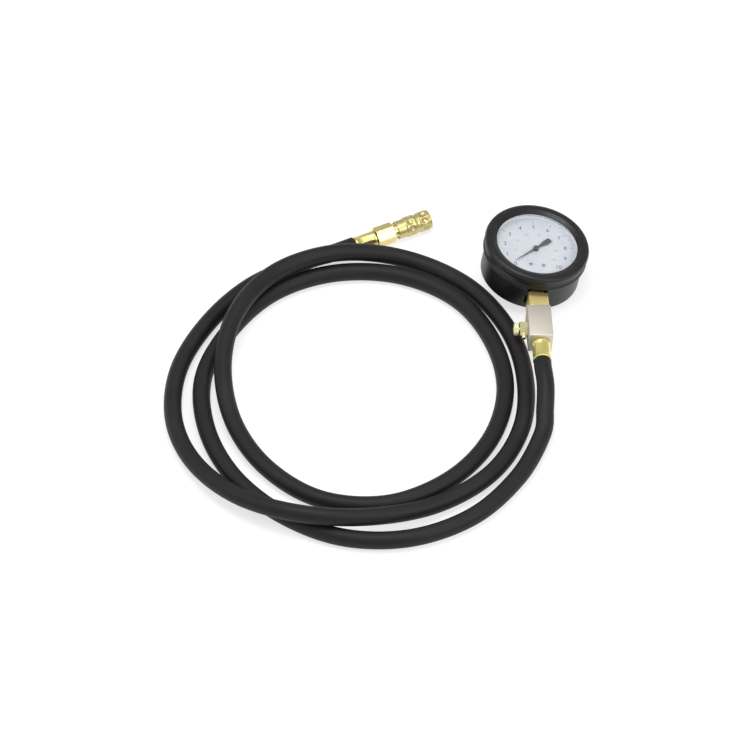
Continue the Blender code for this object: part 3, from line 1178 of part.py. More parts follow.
def main():
    clear_scene()
    finishes = {
        "rubber": finish("rubber", (0.018, 0.018, 0.019), 0.62, 0.0),
        "hose_rubber": finish("hose_rubber", (0.024, 0.023, 0.024), 0.72, 0.0),
        "black_steel": finish("black_steel", (0.012, 0.012, 0.013), 0.35, 0.4),
        "glass": finish("glass", (0.95, 0.97, 0.98), 0.05, 0.0, 0.15),
        "white_plastic": finish("white_plastic", (0.72, 0.74, 0.76), 0.5, 0.0),
        "dial_white": finish("dial_white", (0.80, 0.83, 0.87), 0.45, 0.0),
        "black_paint": finish("black_paint", (0.03, 0.03, 0.035), 0.45, 0.0),
        "brass": finish("brass", (0.66, 0.52, 0.19), 0.28, 1.0),
        "bronze": finish("bronze", (0.55, 0.38, 0.20), 0.30, 1.0),
        "nickel": finish("nickel", (0.66, 0.63, 0.58), 0.38, 1.0),
        "steel": finish("steel", (0.55, 0.55, 0.56), 0.30, 1.0),
        "spring_steel": finish("spring_steel", (0.42, 0.42, 0.44), 0.30, 1.0),
    }
    head = frame("head_frame", None, (HEAD_X, HEAD_Y, rest_height()),
                 (HEAD_PITCH, HEAD_ROLL, HEAD_YAW))
    stem = frame("stem_frame", head, (0, 0, STEM_HEIGHT), (math.pi / 2, 0, 0))
    block = frame("block_frame", stem, (0, 0, 0), (0, 0, BLOCK_TURN))
    coupler = frame("coupler_frame", None, COUPLER_PLACE, (0, math.pi / 2, COUPLER_YAW))
    bpy.context.view_layer.update()
    make_boot(head, finishes["rubber"])
    make_case(head, finishes["black_steel"])
    make_front(head, finishes)
    make_socket(head, stem, finishes["brass"])
    make_tube(head, finishes)
    make_plates(head, finishes)
    collet = make_gears(head, finishes)
    make_hairspring(head, finishes, collet)
    make_link(head, finishes)
    make_pointer(head, finishes)
    make_case_back(head, finishes)
    make_block(block, finishes)
    make_bleed_valve(block, finishes)
    make_hose_end(block, finishes)
    make_hose(stem.matrix_world.copy(), finishes["hose_rubber"])
    make_coupler_tail(coupler, finishes)
    make_coupler_body(coupler, finishes)
    make_sleeve(coupler, finishes)
    make_coupler_inside(coupler, finishes)


if __name__ == "__main__":
    main()
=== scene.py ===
"""Looks of the oil pressure gauge set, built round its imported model.

The set is a dial gauge in a rubber boot, a nickel manifold block with a bleed valve,
and a long rubber hose that ends in a brass quick coupler. Lengths are in metres.
"""
from __future__ import annotations

import json
import logging
import math
from collections.abc import Callable, Iterable, Sequence
from dataclasses import dataclass
from enum import Enum
from functools import cache

import bmesh
import bpy
from mathutils import Euler, Matrix, Vector


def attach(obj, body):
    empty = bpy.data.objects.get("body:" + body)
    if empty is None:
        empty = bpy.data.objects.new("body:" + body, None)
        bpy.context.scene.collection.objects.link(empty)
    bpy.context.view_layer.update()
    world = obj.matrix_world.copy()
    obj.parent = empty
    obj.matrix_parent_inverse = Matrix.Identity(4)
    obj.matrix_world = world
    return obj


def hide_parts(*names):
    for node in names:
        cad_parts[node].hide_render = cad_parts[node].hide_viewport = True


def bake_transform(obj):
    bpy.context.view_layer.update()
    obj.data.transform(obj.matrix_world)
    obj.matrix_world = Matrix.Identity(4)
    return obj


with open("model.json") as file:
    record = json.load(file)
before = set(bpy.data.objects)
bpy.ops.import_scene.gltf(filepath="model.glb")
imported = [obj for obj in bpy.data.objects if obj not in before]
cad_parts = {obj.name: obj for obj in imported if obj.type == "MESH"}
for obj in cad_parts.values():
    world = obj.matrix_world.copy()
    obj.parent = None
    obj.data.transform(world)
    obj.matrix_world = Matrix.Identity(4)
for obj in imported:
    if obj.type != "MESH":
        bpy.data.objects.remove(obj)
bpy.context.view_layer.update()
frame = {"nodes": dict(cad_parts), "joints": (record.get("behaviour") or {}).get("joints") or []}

LOG = logging.getLogger("gauge")

Point2 = tuple[float, float]
Triple = tuple[float, float, float]
Colour = Triple
MM = 0.001
MERGE = 1e-7
SMOOTH_ANGLE = 35.0
SHARP_ANGLE = 30.0


# Shader building


class Signal:
    """A shader value that takes part in Python arithmetic."""

    def __init__(self, graph: Graph, socket: bpy.types.NodeSocket) -> None:
        """Wrap a socket.

        Args:
            graph: The graph that owns the socket.
            socket: The output socket with the value.
        """
        self.graph = graph
        self.socket = socket

    def maths(self, operation: str, *others: Signal | float) -> Signal:
        """Add a Math node.

        Args:
            operation: The node's operation.
            *others: Its further values.

        Returns:
            The result.
        """
        values = dict(enumerate((self, *others)))
        return self.graph.value("ShaderNodeMath", {"operation": operation}, values)

    def __add__(self, other: Signal | float) -> Signal:
        """Sum."""
        return self.maths("ADD", other)

    __radd__ = __add__

    def __mul__(self, other: Signal | float) -> Signal:
        """Product."""
        return self.maths("MULTIPLY", other)

    __rmul__ = __mul__

    def __sub__(self, other: Signal | float) -> Signal:
        """Difference."""
        return self.maths("SUBTRACT", other)

    def __rsub__(self, other: float) -> Signal:
        """Difference from a number."""
        return (self * -1.0) + other

    def between(self, low: float, high: float, to: Point2 = (0.0, 1.0)) -> Signal:
        """Rescale smoothly and clamp.

        Args:
            low: Value that maps to the first of to.
            high: Value that maps to the second of to.
            to: The two results.

        Returns:
            The rescaled value.
        """
        return self.graph.value(
            "ShaderNodeMapRange", {"interpolation_type": "SMOOTHSTEP"},
            {"Value": self, "From Min": low, "From Max": high, "To Min": to[0],
             "To Max": to[1]})


class Graph:
    """The node graph of one material."""

    def __init__(self, name: str) -> None:
        """Start a material.

        Args:
            name: The material's name.
        """
        self.material = bpy.data.materials.new(name)
        self.material.use_nodes = True
        self.tree = self.material.node_tree
        self.shader = self.tree.nodes["Principled BSDF"]

    def node(self, kind: str, settings: dict | None = None,
             inputs: dict | None = None) -> bpy.types.Node:
        """Add a node.

        Args:
            kind: The node's type.
            settings: Its properties.
            inputs: Values or links of its sockets by name or number.

        Returns:
            The node.
        """
        made = self.tree.nodes.new(kind)
        for key, value in (settings or {}).items():
            setattr(made, key, value)
        for key, value in (inputs or {}).items():
            self.feed(made.inputs[key], value)
        return made

    def feed(self, socket: bpy.types.NodeSocket, value: object) -> None:
        """Link a signal or socket to a socket, or set its number.

        Args:
            socket: The socket to feed.
            value: A Signal, a socket, or a plain value.
        """
        if isinstance(value, Signal):
            value = value.socket
        if isinstance(value, bpy.types.NodeSocket):
            self.tree.links.new(value, socket)
        else:
            socket.default_value = value

    def value(self, kind: str, settings: dict | None = None,
              inputs: dict | None = None, output: int | str = 0) -> Signal:
        """Add a node and take one of its outputs as a Signal."""
        return Signal(self, self.node(kind, settings, inputs).outputs[output])

    def position(self) -> bpy.types.NodeSocket:
        """Position in the piece's own frame, in metres."""
        return self.node("ShaderNodeTexCoord").outputs["Object"]

    def stretched(self, scale: Sequence[float],
                  vector: bpy.types.NodeSocket | None = None) -> bpy.types.NodeSocket:
        """A position scaled along each axis.

        Args:
            scale: Factor on each axis.
            vector: The position; the piece's own by default.

        Returns:
            The scaled position.
        """
        made = self.node("ShaderNodeVectorMath", {"operation": "MULTIPLY"},
                         {0: vector or self.position(), 1: tuple(scale)})
        return made.outputs[0]

    def along(self, axis: Sequence[float]) -> Signal:
        """Distance along an axis through the piece's origin."""
        return self.value("ShaderNodeVectorMath", {"operation": "DOT_PRODUCT"},
                          {0: self.position(), 1: tuple(axis)}, "Value")

    def noise(self, scale: float, detail: float = 3.0, rough: float = 0.55,
              vector: bpy.types.NodeSocket | None = None) -> Signal:
        """Cloudy noise from 0 to 1 about a mean of one half.

        Args:
            scale: Features per metre.
            detail: Octaves.
            rough: Weight of the fine octaves.
            vector: Where it is read; the piece's own position by default.

        Returns:
            The noise.
        """
        return self.value("ShaderNodeTexNoise", None, {
            "Vector": vector or self.position(), "Scale": scale, "Detail": detail,
            "Roughness": rough})

    def lines(self, scale: float, distance: Signal, detail: float = 2.0) -> Signal:
        """Noise that changes along one distance only, such as lathe marks."""
        return self.value("ShaderNodeTexNoise", {"noise_dimensions": "1D"}, {
            "W": distance, "Scale": scale, "Detail": detail})

    def blend(self, factor: Signal | float, first: Colour | bpy.types.NodeSocket,
              second: Colour | bpy.types.NodeSocket) -> bpy.types.NodeSocket:
        """Mix two colours.

        Args:
            factor: 0 for the first, 1 for the second.
            first: A colour or a colour socket.
            second: The same.

        Returns:
            The mixed colour.
        """
        sides = [(*side, 1.0) if isinstance(side, tuple) else side
                 for side in (first, second)]
        made = self.node("ShaderNodeMix", {"data_type": "RGBA"},
                         {0: factor, 6: sides[0], 7: sides[1]})
        return made.outputs[2]

    def vary(self, middle: float, *parts: tuple[Signal, float]) -> Signal:
        """A value that noises of 0 to 1 move about its middle.

        Args:
            middle: The value where every noise is one half.
            *parts: Each noise and its weight.

        Returns:
            The value.
        """
        first, *others = [noise * weight for noise, weight in parts]
        centre = sum(weight for _, weight in parts) / 2
        return sum(others, first) + (middle - centre)

    def bump(self, height: Signal, depth: float) -> bpy.types.NodeSocket:
        """The normal of a skin where a height of 1 stands a depth in metres proud."""
        inputs = {"Height": height, "Distance": depth, "Strength": 1.0}
        return self.node("ShaderNodeBump", None, inputs).outputs[0]

    def dress(self, **sockets: object) -> bpy.types.Material:
        """Feed the shader's sockets; a name's underscores stand for spaces.

        Returns:
            The material.
        """
        for name, value in sockets.items():
            if isinstance(value, tuple) and len(value) == 3:
                value = (*value, 1.0)
            self.feed(self.shader.inputs[name.replace("_", " ")], value)
        return self.material


# Finishes


@dataclass(frozen=True)
class Rubber:
    """Black rubber with a fine grain, faint mottling and a little bloom."""

    name: str
    colour: Colour = (0.006, 0.006, 0.0065)
    bloom: Colour = (0.017, 0.017, 0.018)
    bloom_share: float = 0.35
    roughness: float = 0.36
    grain: float = 2600.0
    grain_depth: float = 0.00004

    def build(self) -> bpy.types.Material:
        """Make the material."""
        graph = Graph(self.name)
        patches = graph.noise(70.0, 4.0)
        fine = graph.noise(self.grain, 3.0, 0.6)
        cover = patches.between(0.45, 0.72, (0.0, self.bloom_share))
        return graph.dress(
            Base_Color=graph.blend(cover, self.colour, self.bloom),
            Roughness=graph.vary(self.roughness, (patches, 0.16), (fine, 0.10)),
            Normal=graph.bump(fine, self.grain_depth), Specular_IOR_Level=0.42)


@dataclass(frozen=True)
class HoseRubber:
    """Extruded hose cover with the faint weave of the cloth it was cured in."""

    name: str
    colour: Colour = (0.011, 0.0105, 0.011)
    worn: Colour = (0.028, 0.027, 0.028)
    roughness: float = 0.52
    threads: float = 1150.0
    depth: float = 0.00004

    def build(self) -> bpy.types.Material:
        """Make the material; UV holds metres along and round the hose."""
        graph = Graph(self.name)
        spot = graph.node("ShaderNodeTexCoord").outputs["UV"]
        weave = graph.node("ShaderNodeSeparateXYZ", None, {0: spot})
        lengthwise, around = (Signal(graph, weave.outputs[k]) for k in (0, 1))
        turn = 2.0 * math.pi * self.threads
        first = ((lengthwise + around) * turn).maths("SINE")
        second = ((lengthwise - around) * turn).maths("SINE")
        cloth = (first * second) * 0.25 + 0.5
        streaks = graph.noise(160.0, 3.0, 0.5, graph.stretched((0.12, 1.6, 1.0), spot))
        fine = graph.noise(3000.0, 2.0, 0.6)
        patches = graph.noise(28.0, 4.0)
        height = cloth * 0.55 + fine * 0.35 + streaks * 0.5
        cover = (patches * 0.6 + streaks * 0.5).between(0.5, 0.8, (0.0, 0.5))
        return graph.dress(
            Base_Color=graph.blend(cover, self.colour, self.worn),
            Roughness=graph.vary(self.roughness, (streaks, 0.14), (patches, 0.10)),
            Normal=graph.bump(height, self.depth), Specular_IOR_Level=0.25)


@dataclass(frozen=True)
class TurnedMetal:
    """Metal turned on a lathe: fine rings across its axis, stains and rubbed spots."""

    name: str
    colour: Colour
    stain: Colour
    roughness: float = 0.26
    ring_scale: float = 5200.0
    ring_depth: float = 0.000006
    stain_share: float = 0.45

    def build(self, axis: Sequence[float] = (0.0, 0.0, 1.0)) -> bpy.types.Material:
        """Make the material.

        Args:
            axis: The piece's turning axis in its own frame.

        Returns:
            The material.
        """
        graph = Graph(self.name)
        rings = graph.lines(self.ring_scale, graph.along(axis))
        cloud = graph.noise(220.0, 4.0, 0.6)
        specks = graph.noise(1500.0, 2.0)
        stained = cloud.between(0.45, 0.75, (0.0, self.stain_share))
        rough = graph.vary(self.roughness, (cloud, 0.12), (rings, 0.10), (specks, 0.04))
        height = rings * 0.8 + specks * 0.4
        return graph.dress(
            Base_Color=graph.blend(stained, self.colour, self.stain), Metallic=1.0,
            Roughness=rough, Normal=graph.bump(height, self.ring_depth))


@dataclass(frozen=True)
class SandedMetal:
    """Plated metal with straight sanding lines under the plating; optionally a painted shade
    darkens it towards one end along an axis.
    """

    name: str
    colour: Colour
    shade: Colour
    roughness: float = 0.36
    scratch: Triple = (3500.0, 3500.0, 120.0)
    # Span along the axis over which the painted shade fades out, and its strength at the dark
    # end.
    painted_shade_span: Point2 | None = None
    painted_shade_share: float = 0.7
    scratch_depth: float = 0.000008

    def build(self, axis: Sequence[float] | None = None) -> bpy.types.Material:
        """Make the material.

        Args:
            axis: Axis along which the painted shade fades into the plain metal.

        Returns:
            The material.
        """
        graph = Graph(self.name)
        lines = graph.noise(1.0, 3.0, 0.6, graph.stretched(self.scratch))
        cloud = graph.noise(130.0, 4.0)
        tint = (cloud * 0.7 + lines * 0.3).between(0.35, 0.7, (0.0, 0.6))
        rough = graph.vary(self.roughness, (lines, 0.14), (cloud, 0.12))
        colour = graph.blend(tint, self.colour, self.shade)
        if self.painted_shade_span and axis:
            # Painted shade: before the span the colour blends towards a dark copy of the shade
            # colour, standing in for shadow and dark reflection.
            painted_shade = graph.along(axis).between(*self.painted_shade_span, (self.painted_shade_share, 0.0))
            colour = graph.blend(painted_shade, colour, tuple(c * c * 0.2 for c in self.shade))
        return graph.dress(Base_Color=colour, Metallic=1.0, Roughness=rough,
                           Normal=graph.bump(lines, self.scratch_depth))


@dataclass(frozen=True)
class Coated:
    """Paint, ink, enamel or moulded plastic with an even, faintly uneven skin."""

    name: str
    colour: Colour
    second: Colour
    roughness: float = 0.4
    grain: float = 900.0
    depth: float = 0.000008

    def build(self) -> bpy.types.Material:
        """Make the material."""
        graph = Graph(self.name)
        cloud = graph.noise(90.0, 4.0)
        fine = graph.noise(self.grain, 3.0)
        return graph.dress(
            Base_Color=graph.blend(cloud.between(0.35, 0.7), self.colour, self.second),
            Roughness=graph.vary(self.roughness, (cloud, 0.10), (fine, 0.08)),
            Normal=graph.bump(fine, self.depth))


@dataclass(frozen=True)
class ClearLens:
    """Clear lens: it lets the dial show and mirrors a little at low angles."""

    name: str
    index: float = 1.4
    index_drop: float = 0.686
    mirror: float = 0.8
    haze: float = 0.015

    def build(self) -> bpy.types.Material:
        """Make the material."""
        graph = Graph(self.name)
        inside = graph.value("ShaderNodeNewGeometry", None, None, "Backfacing")
        edge = graph.value("ShaderNodeFresnel", None, {
            "IOR": self.index - inside * self.index_drop})
        rough = graph.noise(60.0, 4.0).between(0.5, 0.8, (0.03, 0.12))
        return graph.dress(Base_Color=(0.96, 0.98, 1.0), Metallic=1.0, Roughness=rough,
                           Alpha=edge * self.mirror + self.haze)


class Finish(Enum):
    """The finishes of the set's pieces."""

    BOOT = Rubber("boot_rubber")
    SEAL = Rubber("seal_rubber", roughness=0.42, bloom_share=0.15)
    HOSE = HoseRubber("hose_cover")
    BRASS = TurnedMetal("bright_brass", (0.78, 0.66, 0.26), (0.64, 0.53, 0.17), 0.31)
    BRASS_TUMBLED = TurnedMetal("tumbled_brass", (0.88, 0.77, 0.29), (0.76, 0.65, 0.19),
                                0.36)
    BRASS_MILLED = SandedMetal("milled_brass", (0.78, 0.68, 0.29), (0.70, 0.59, 0.22),
                               0.27, (2600.0, 2600.0, 260.0))
    # The stem's brass: its painted shade darkens the end next to the boot, standing in for the
    # boot's shadow and dark reflection.
    BRASS_CAST = SandedMetal("blasted_brass_painted_shade", (1.0, 0.87, 0.40), (0.95, 0.73, 0.25),
                             0.50, (1800.0, 1800.0, 1200.0), (0.0105, 0.0135))
    BRASS_SLEEVE = TurnedMetal("sleeve_brass", (0.60, 0.54, 0.24), (0.63, 0.46, 0.30),
                               0.42, stain_share=0.7)
    BRONZE = TurnedMetal("spring_bronze", (0.62, 0.40, 0.20), (0.42, 0.25, 0.12))
    NICKEL = SandedMetal("satin_nickel", (0.72, 0.68, 0.60), (0.65, 0.61, 0.54), 0.58)
    GREY_STEEL = TurnedMetal("grey_steel", (0.46, 0.48, 0.53), (0.34, 0.36, 0.40), 0.45)
    STEEL = TurnedMetal("bright_steel", (0.60, 0.60, 0.61), (0.42, 0.41, 0.40))
    SPRING = TurnedMetal("spring_wire", (0.45, 0.45, 0.47), (0.30, 0.29, 0.28), 0.3)
    ENAMEL = Coated("black_enamel", (0.012, 0.012, 0.013), (0.02, 0.02, 0.021), 0.35)
    DIAL = Coated("dial_white", (0.65, 0.68, 0.725), (0.60, 0.635, 0.685), 0.45, 1400.0)
    # Painted light: this white is set well above the dial's, so that it lifts the shade under
    # the boot's lip.
    RING = Coated("ring_white_painted_light", (0.90, 0.92, 0.95), (0.86, 0.88, 0.92), 0.5)
    FAINT_INK = Coated("dial_grey_ink", (0.27, 0.30, 0.38), (0.32, 0.35, 0.42), 0.5,
                       2500.0)
    INK = Coated("dial_ink", (0.075, 0.08, 0.115), (0.11, 0.115, 0.15), 0.5, 2500.0)
    RED_INK = Coated("dial_red_ink", (0.46, 0.31, 0.31), (0.52, 0.37, 0.36), 0.5, 2500.0)
    POINTER = Coated("pointer_paint", (0.045, 0.05, 0.065), (0.06, 0.065, 0.085), 0.38)
    PALE_BRASS = SandedMetal("pale_brass", (0.93, 0.87, 0.55), (0.76, 0.68, 0.34),
                             0.30, (2600.0, 2600.0, 900.0))
    LENS = ClearLens("clear_lens")


@cache
def paint(finish: Finish, axis: tuple[float, ...] = ()) -> bpy.types.Material:
    """The material of a finish, made once for each turning axis.

    Args:
        finish: Which finish.
        axis: A turning axis other than the piece's own Z.

    Returns:
        The material.
    """
    return finish.value.build(axis) if axis else finish.value.build()


# Mesh building


def smooth(data: bpy.types.Mesh, angle: float) -> None:
    """Shade a mesh smooth, except where it turns by more than an angle in degrees."""
    data.shade_smooth()
    data.set_sharp_from_angle(angle=math.radians(angle))


class Form:
    """A mesh in the making, with the frame where its piece stands."""

    def __init__(self, stand: Matrix | None = None) -> None:
        """Start with an empty mesh.

        Args:
            stand: The piece's frame; the world's by default.
        """
        self.mesh = bmesh.new()
        self.stand = stand or Matrix.Identity(4)

    def loft(self, rings: Sequence[Sequence[Vector]], closed: bool = False) -> Form:
        """Skin a row of equal rings of points.

        Args:
            rings: Points of each ring.
            closed: True if the last ring joins the first; else both ends get a face.

        Returns:
            The form.
        """
        rows = [[self.mesh.verts.new(point) for point in ring] for ring in rings]
        count = len(rings[0])
        pairs = list(zip(rows, rows[1:])) + ([(rows[-1], rows[0])] if closed else [])
        for low, high in pairs:
            for k in range(count):
                after = (k + 1) % count
                self.mesh.faces.new((low[k], low[after], high[after], high[k]))
        if not closed:
            self.mesh.faces.new(rows[0])
            self.mesh.faces.new(list(reversed(rows[-1])))
        return self

    def turn(self, corners: Sequence[tuple], segments: int = 96, steps: int = 0) -> Form:
        """Turn a closed outline about Z.

        Args:
            corners: (radius, height) or (radius, height, rounding) for each corner.
            segments: Facets round the axis.
            steps: Facets of each rounding; 0 where no corner has one.

        Returns:
            The form.
        """
        profile = filleted(corners, steps) if steps else corners
        rings = []
        for k in range(segments):
            angle = 2 * math.pi * k / segments
            rings.append([Vector((r * math.cos(angle), r * math.sin(angle), z))
                          for r, z in profile])
        self.loft(rings, closed=True)
        bmesh.ops.remove_doubles(self.mesh, verts=self.mesh.verts, dist=MERGE)
        bmesh.ops.dissolve_degenerate(self.mesh, edges=self.mesh.edges, dist=MERGE)
        return self

    def solid(self, corners: Sequence[tuple], segments: int = 96, steps: int = 0) -> Form:
        """Turn an outline whose two ends run in to the axis, as turn does."""
        return self.turn(((0.0, corners[0][1]), *corners, (0.0, corners[-1][1])),
                         segments, steps)

    def rod(self, radius: float, low: float, high: float, segments: int) -> Form:
        """Add a plain cylinder."""
        return self.solid(((radius, low), (radius, high)), segments)

    def tube(self, radii: Point2, low: float, high: float, segments: int = 96) -> Form:
        """Add a plain ring between two radii."""
        inner, outer = radii
        return self.turn(((inner, low), (outer, low), (outer, high), (inner, high)),
                         segments)

    def wire(self, radius: float, sides: int, stations: Iterable[Matrix]) -> Form:
        """Draw a round wire through frames whose Z runs along it."""
        angles = [2 * math.pi * k / sides for k in range(sides)]
        section = [Vector((radius * math.cos(a), radius * math.sin(a), 0.0))
                   for a in angles]
        return self.loft([[station @ point for point in section]
                          for station in stations])

    def slab(self, outline: Sequence[Point2], bottom: float, top: float) -> Form:
        """Add a flat plate with an (x, y) outline."""
        return self.loft([[Vector((x, y, z)) for x, y in outline]
                          for z in (bottom, top)])

    def box(self, low: Sequence[float], high: Sequence[float]) -> Form:
        """Add a rectangular block between two corners."""
        return self.slab(((low[0], low[1]), (high[0], low[1]), (high[0], high[1]),
                          (low[0], high[1])), low[2], high[2])

    def add(self, other: Form, matrix: Matrix | None = None) -> Form:
        """Add another form.

        Args:
            other: The form, which is used up.
            matrix: Where it goes.

        Returns:
            The form.
        """
        other.mesh.transform(matrix or Matrix.Identity(4))
        moved = bpy.data.meshes.new("moved")
        other.mesh.to_mesh(moved)
        other.mesh.free()
        self.mesh.from_mesh(moved)
        bpy.data.meshes.remove(moved)
        return self

    def press(self, factor: Callable[[float, float, float], float]) -> Form:
        """Scale each point's distance from Z.

        Args:
            factor: Gives the scale from the distance, the angle and the height.

        Returns:
            The form.
        """
        for vert in self.mesh.verts:
            x, y, z = vert.co
            scale = factor(math.hypot(x, y), math.atan2(y, x), z)
            vert.co = (x * scale, y * scale, z)
        return self

    def soften(self, width: float, segments: int = 2) -> Form:
        """Round the sharp edges by a width, with a number of facets across it."""
        self.outward()
        edges = [edge for edge in self.mesh.edges if len(edge.link_faces) == 2
                 and edge.calc_face_angle(0.0) > math.radians(SHARP_ANGLE)]
        bmesh.ops.bevel(self.mesh, geom=edges, offset=width, segments=segments,
                        profile=0.5, affect="EDGES", clamp_overlap=True)
        return self

    def outward(self) -> Form:
        """Turn all faces outward."""
        bmesh.ops.recalc_face_normals(self.mesh, faces=self.mesh.faces)
        if self.mesh.calc_volume(signed=True) < 0:
            bmesh.ops.reverse_faces(self.mesh, faces=self.mesh.faces)
        return self

    def object(self, name: str, smooth_angle: float = SMOOTH_ANGLE) -> bpy.types.Object:
        """Finish the mesh and make its object.

        Args:
            name: The object's name.
            smooth_angle: Edges sharper than this stay sharp, in degrees.

        Returns:
            The object.
        """
        self.outward()
        data = bpy.data.meshes.new(name)
        self.mesh.to_mesh(data)
        self.mesh.free()
        smooth(data, smooth_angle)
        item = bpy.data.objects.new(name, data)
        bpy.context.scene.collection.objects.link(item)
        item.matrix_world = self.stand
        return item


def filleted(points: Sequence[tuple], steps: int) -> list[Point2]:
    """Round the corners of a closed outline.

    Args:
        points: (x, y) or (x, y, radius) for each corner.
        steps: Facets of each rounding.

    Returns:
        The outline's points.
    """
    outline: list[Point2] = []
    count = len(points)
    for k, corner in enumerate(points):
        here = Vector(corner[:2])
        radius = corner[2] if len(corner) > 2 else 0.0
        before = Vector(points[k - 1][:2]) - here
        after = Vector(points[(k + 1) % count][:2]) - here
        if radius <= 0 or min(before.length, after.length) < 1e-9:
            outline.append(tuple(here))
            continue
        half = before.angle(after) / 2
        room = min(before.length, after.length) * 0.48
        reach = min(radius / math.tan(half), room)
        start = here + before.normalized() * reach
        end = here + after.normalized() * reach
        for step in range(steps + 1):
            t = step / steps
            outline.append(tuple(start.lerp(here, t).lerp(here.lerp(end, t), t)))
    return outline


def column(radius: float, low: float, high: float, steps: int) -> list[Point2]:
    """Even points up a straight side, so that it can be pressed."""
    return [(radius, low + (high - low) * k / steps) for k in range(steps + 1)]


def cut(target: bpy.types.Object, *tools: Form | bpy.types.Object,
        operation: str = "DIFFERENCE", smooth_angle: float = SMOOTH_ANGLE,
        ) -> bpy.types.Object:
    """Apply Booleans to a piece and delete the tools.

    Args:
        target: The piece.
        *tools: The shapes to cut away, to join on or to keep within.
        operation: The Boolean's operation.
        smooth_angle: Edges sharper than this stay sharp, in degrees.

    Returns:
        The piece.
    """
    cutters = [tool.object("tool") if isinstance(tool, Form) else tool for tool in tools]
    for cutter in cutters:
        step = target.modifiers.new("cut", "BOOLEAN")
        step.operation = operation
        step.object = cutter
    bpy.context.view_layer.update()
    done = target.evaluated_get(bpy.context.evaluated_depsgraph_get())
    data = bpy.data.meshes.new_from_object(done)
    target.modifiers.clear()
    old, target.data = target.data, data
    bpy.data.meshes.remove(old)
    for cutter in cutters:
        bpy.data.objects.remove(cutter, do_unlink=True)
    smooth(data, smooth_angle)
    return target


def nut(stand: Matrix, name: str, flats: float, ends: Point2, chamfer: Point2,
        turn: float = 0.0) -> bpy.types.Object:
    """A hexagon with turned corners.

    Args:
        stand: Its frame, Z along it.
        name: The object's name.
        flats: Width across flats.
        ends: Its lower and upper end.
        chamfer: Radius and depth of the turned ends.
        turn: Turn about Z in degrees.

    Returns:
        The nut.
    """
    low, high = ends
    rim, depth = chamfer
    corner = flats / math.sqrt(3)
    wide = corner + 0.00005
    angles = [math.radians(turn) + math.pi * k / 3 for k in range(6)]
    body = Form(stand).slab([(corner * math.cos(a), corner * math.sin(a))
                             for a in angles], low, high)
    limit = Form(stand).solid(((rim, low), (wide, low + depth), (wide, high - depth),
                               (rim, high)))
    return cut(body.object(name), limit, operation="INTERSECT")


def helix(stand: Matrix, radius: float, wire: float, ends: Point2, turns: float) -> Form:
    """A spring wound about Z.

    Args:
        stand: Its frame.
        radius: Mean radius.
        wire: Radius of the wire.
        ends: Its lower and upper end.
        turns: Number of turns.

    Returns:
        The spring.
    """
    bottom, top = ends
    per_turn, sides = 32, 10
    steps = int(turns * per_turn)
    rise = (top - bottom - 2 * wire) / steps
    slope = math.atan2(rise * per_turn, 2 * math.pi * radius)
    stations = []
    for k in range(steps + 1):
        angle = 2 * math.pi * k / per_turn
        spot = Matrix.Translation((radius * math.cos(angle), radius * math.sin(angle),
                                   bottom + wire + rise * k))
        stations.append(spot @ Matrix.Rotation(angle, 4, "Z")
                        @ Matrix.Rotation(slope, 4, "X")
                        @ Matrix.Rotation(-math.pi / 2, 4, "X"))
    return Form(stand).wire(wire, sides, stations)


def place(item: bpy.types.Object, finish: Finish, body: str = "gauge",
          instead_of: Iterable[str] = (),
          across: tuple[str, Vector, Vector] | None = None) -> bpy.types.Object:
    """Dress a piece, set it on its body and hide the model's nodes that it replaces.

    Args:
        item: The piece.
        finish: Its finish.
        body: The body that it rides on.
        instead_of: The model's nodes that it replaces.
        across: For a spring, the body that its far end belongs to and its two ends; only whether
            it is given is read, and a piece given it stays on no body.

    Returns:
        The piece.
    """
    item.data.materials.clear()
    item.data.materials.append(paint(finish))
    if across:
        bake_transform(item)
    else:
        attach(item, body)
    if instead_of:
        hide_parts(*instead_of)
    LOG.info("%s: %s on %s", item.name, finish.value.name, body)
    return item


def dress_node(node: str, finish: Finish, axis: tuple[float, ...] = ()) -> None:
    """Give a node of the model its finish.

    Args:
        node: The node's name.
        finish: Its finish.
        axis: Its turning axis in the row frame.
    """
    item = frame["nodes"][node]
    material = paint(finish, axis)
    if not item.material_slots:
        item.data.materials.append(material)
    for holder in item.material_slots:
        holder.material = material
    LOG.info("%s: %s", node, finish.value.name)


# Where the sub-assemblies stand


@dataclass(frozen=True)
class Layout:
    """Frames of the head, its stem, the bleed valve and the coupler."""

    head_turn: tuple[float, float, float] = (-1.0, 10.35, 3.0)
    pointer_height: float = 0.0205
    stem_height: float = 0.0100
    block_start: float = 0.0525
    block_turn: float = 6.0
    bleed_station: float = 0.0166
    hose_start: float = 0.1001
    coupler_place: tuple[float, float, float] = (-0.1294, 0.0562, 0.0075)
    coupler_yaw: float = 26.0

    def head(self) -> Matrix:
        """Frame of the head: Z up the dial's normal, from the back of the boot."""
        turn = Euler([math.radians(a) for a in self.head_turn]).to_matrix()
        hub = next(Vector(joint["pos_m"]) for joint in frame["joints"]
                   if joint["name"] == "pointer_turn")
        start = hub - turn @ Vector((0, 0, self.pointer_height))
        return Matrix.Translation(start) @ turn.to_4x4()

    def stem(self) -> Matrix:
        """Frame of the stem: Z along it, away from the dial."""
        return (self.head() @ Matrix.Translation((0, 0, self.stem_height))
                @ Matrix.Rotation(math.pi / 2, 4, "X"))

    def block(self) -> Matrix:
        """Frame of the block, turned about the stem as far as its thread goes."""
        return self.stem() @ Matrix.Rotation(math.radians(self.block_turn), 4, "Z")

    def bleed(self) -> Matrix:
        """Frame of the bleed valve: Z out of the block's left side."""
        station = Matrix.Translation((0, 0, self.block_start + self.bleed_station))
        return self.block() @ station @ Matrix.Rotation(-math.pi / 2, 4, "Y")

    def coupler(self) -> Matrix:
        """Frame of the coupler: Z along it, from the end of the hose."""
        turn = Euler((0, math.pi / 2, math.radians(self.coupler_yaw))).to_matrix()
        return Matrix.Translation(self.coupler_place) @ turn.to_4x4()


LAYOUT = Layout()


# Studio


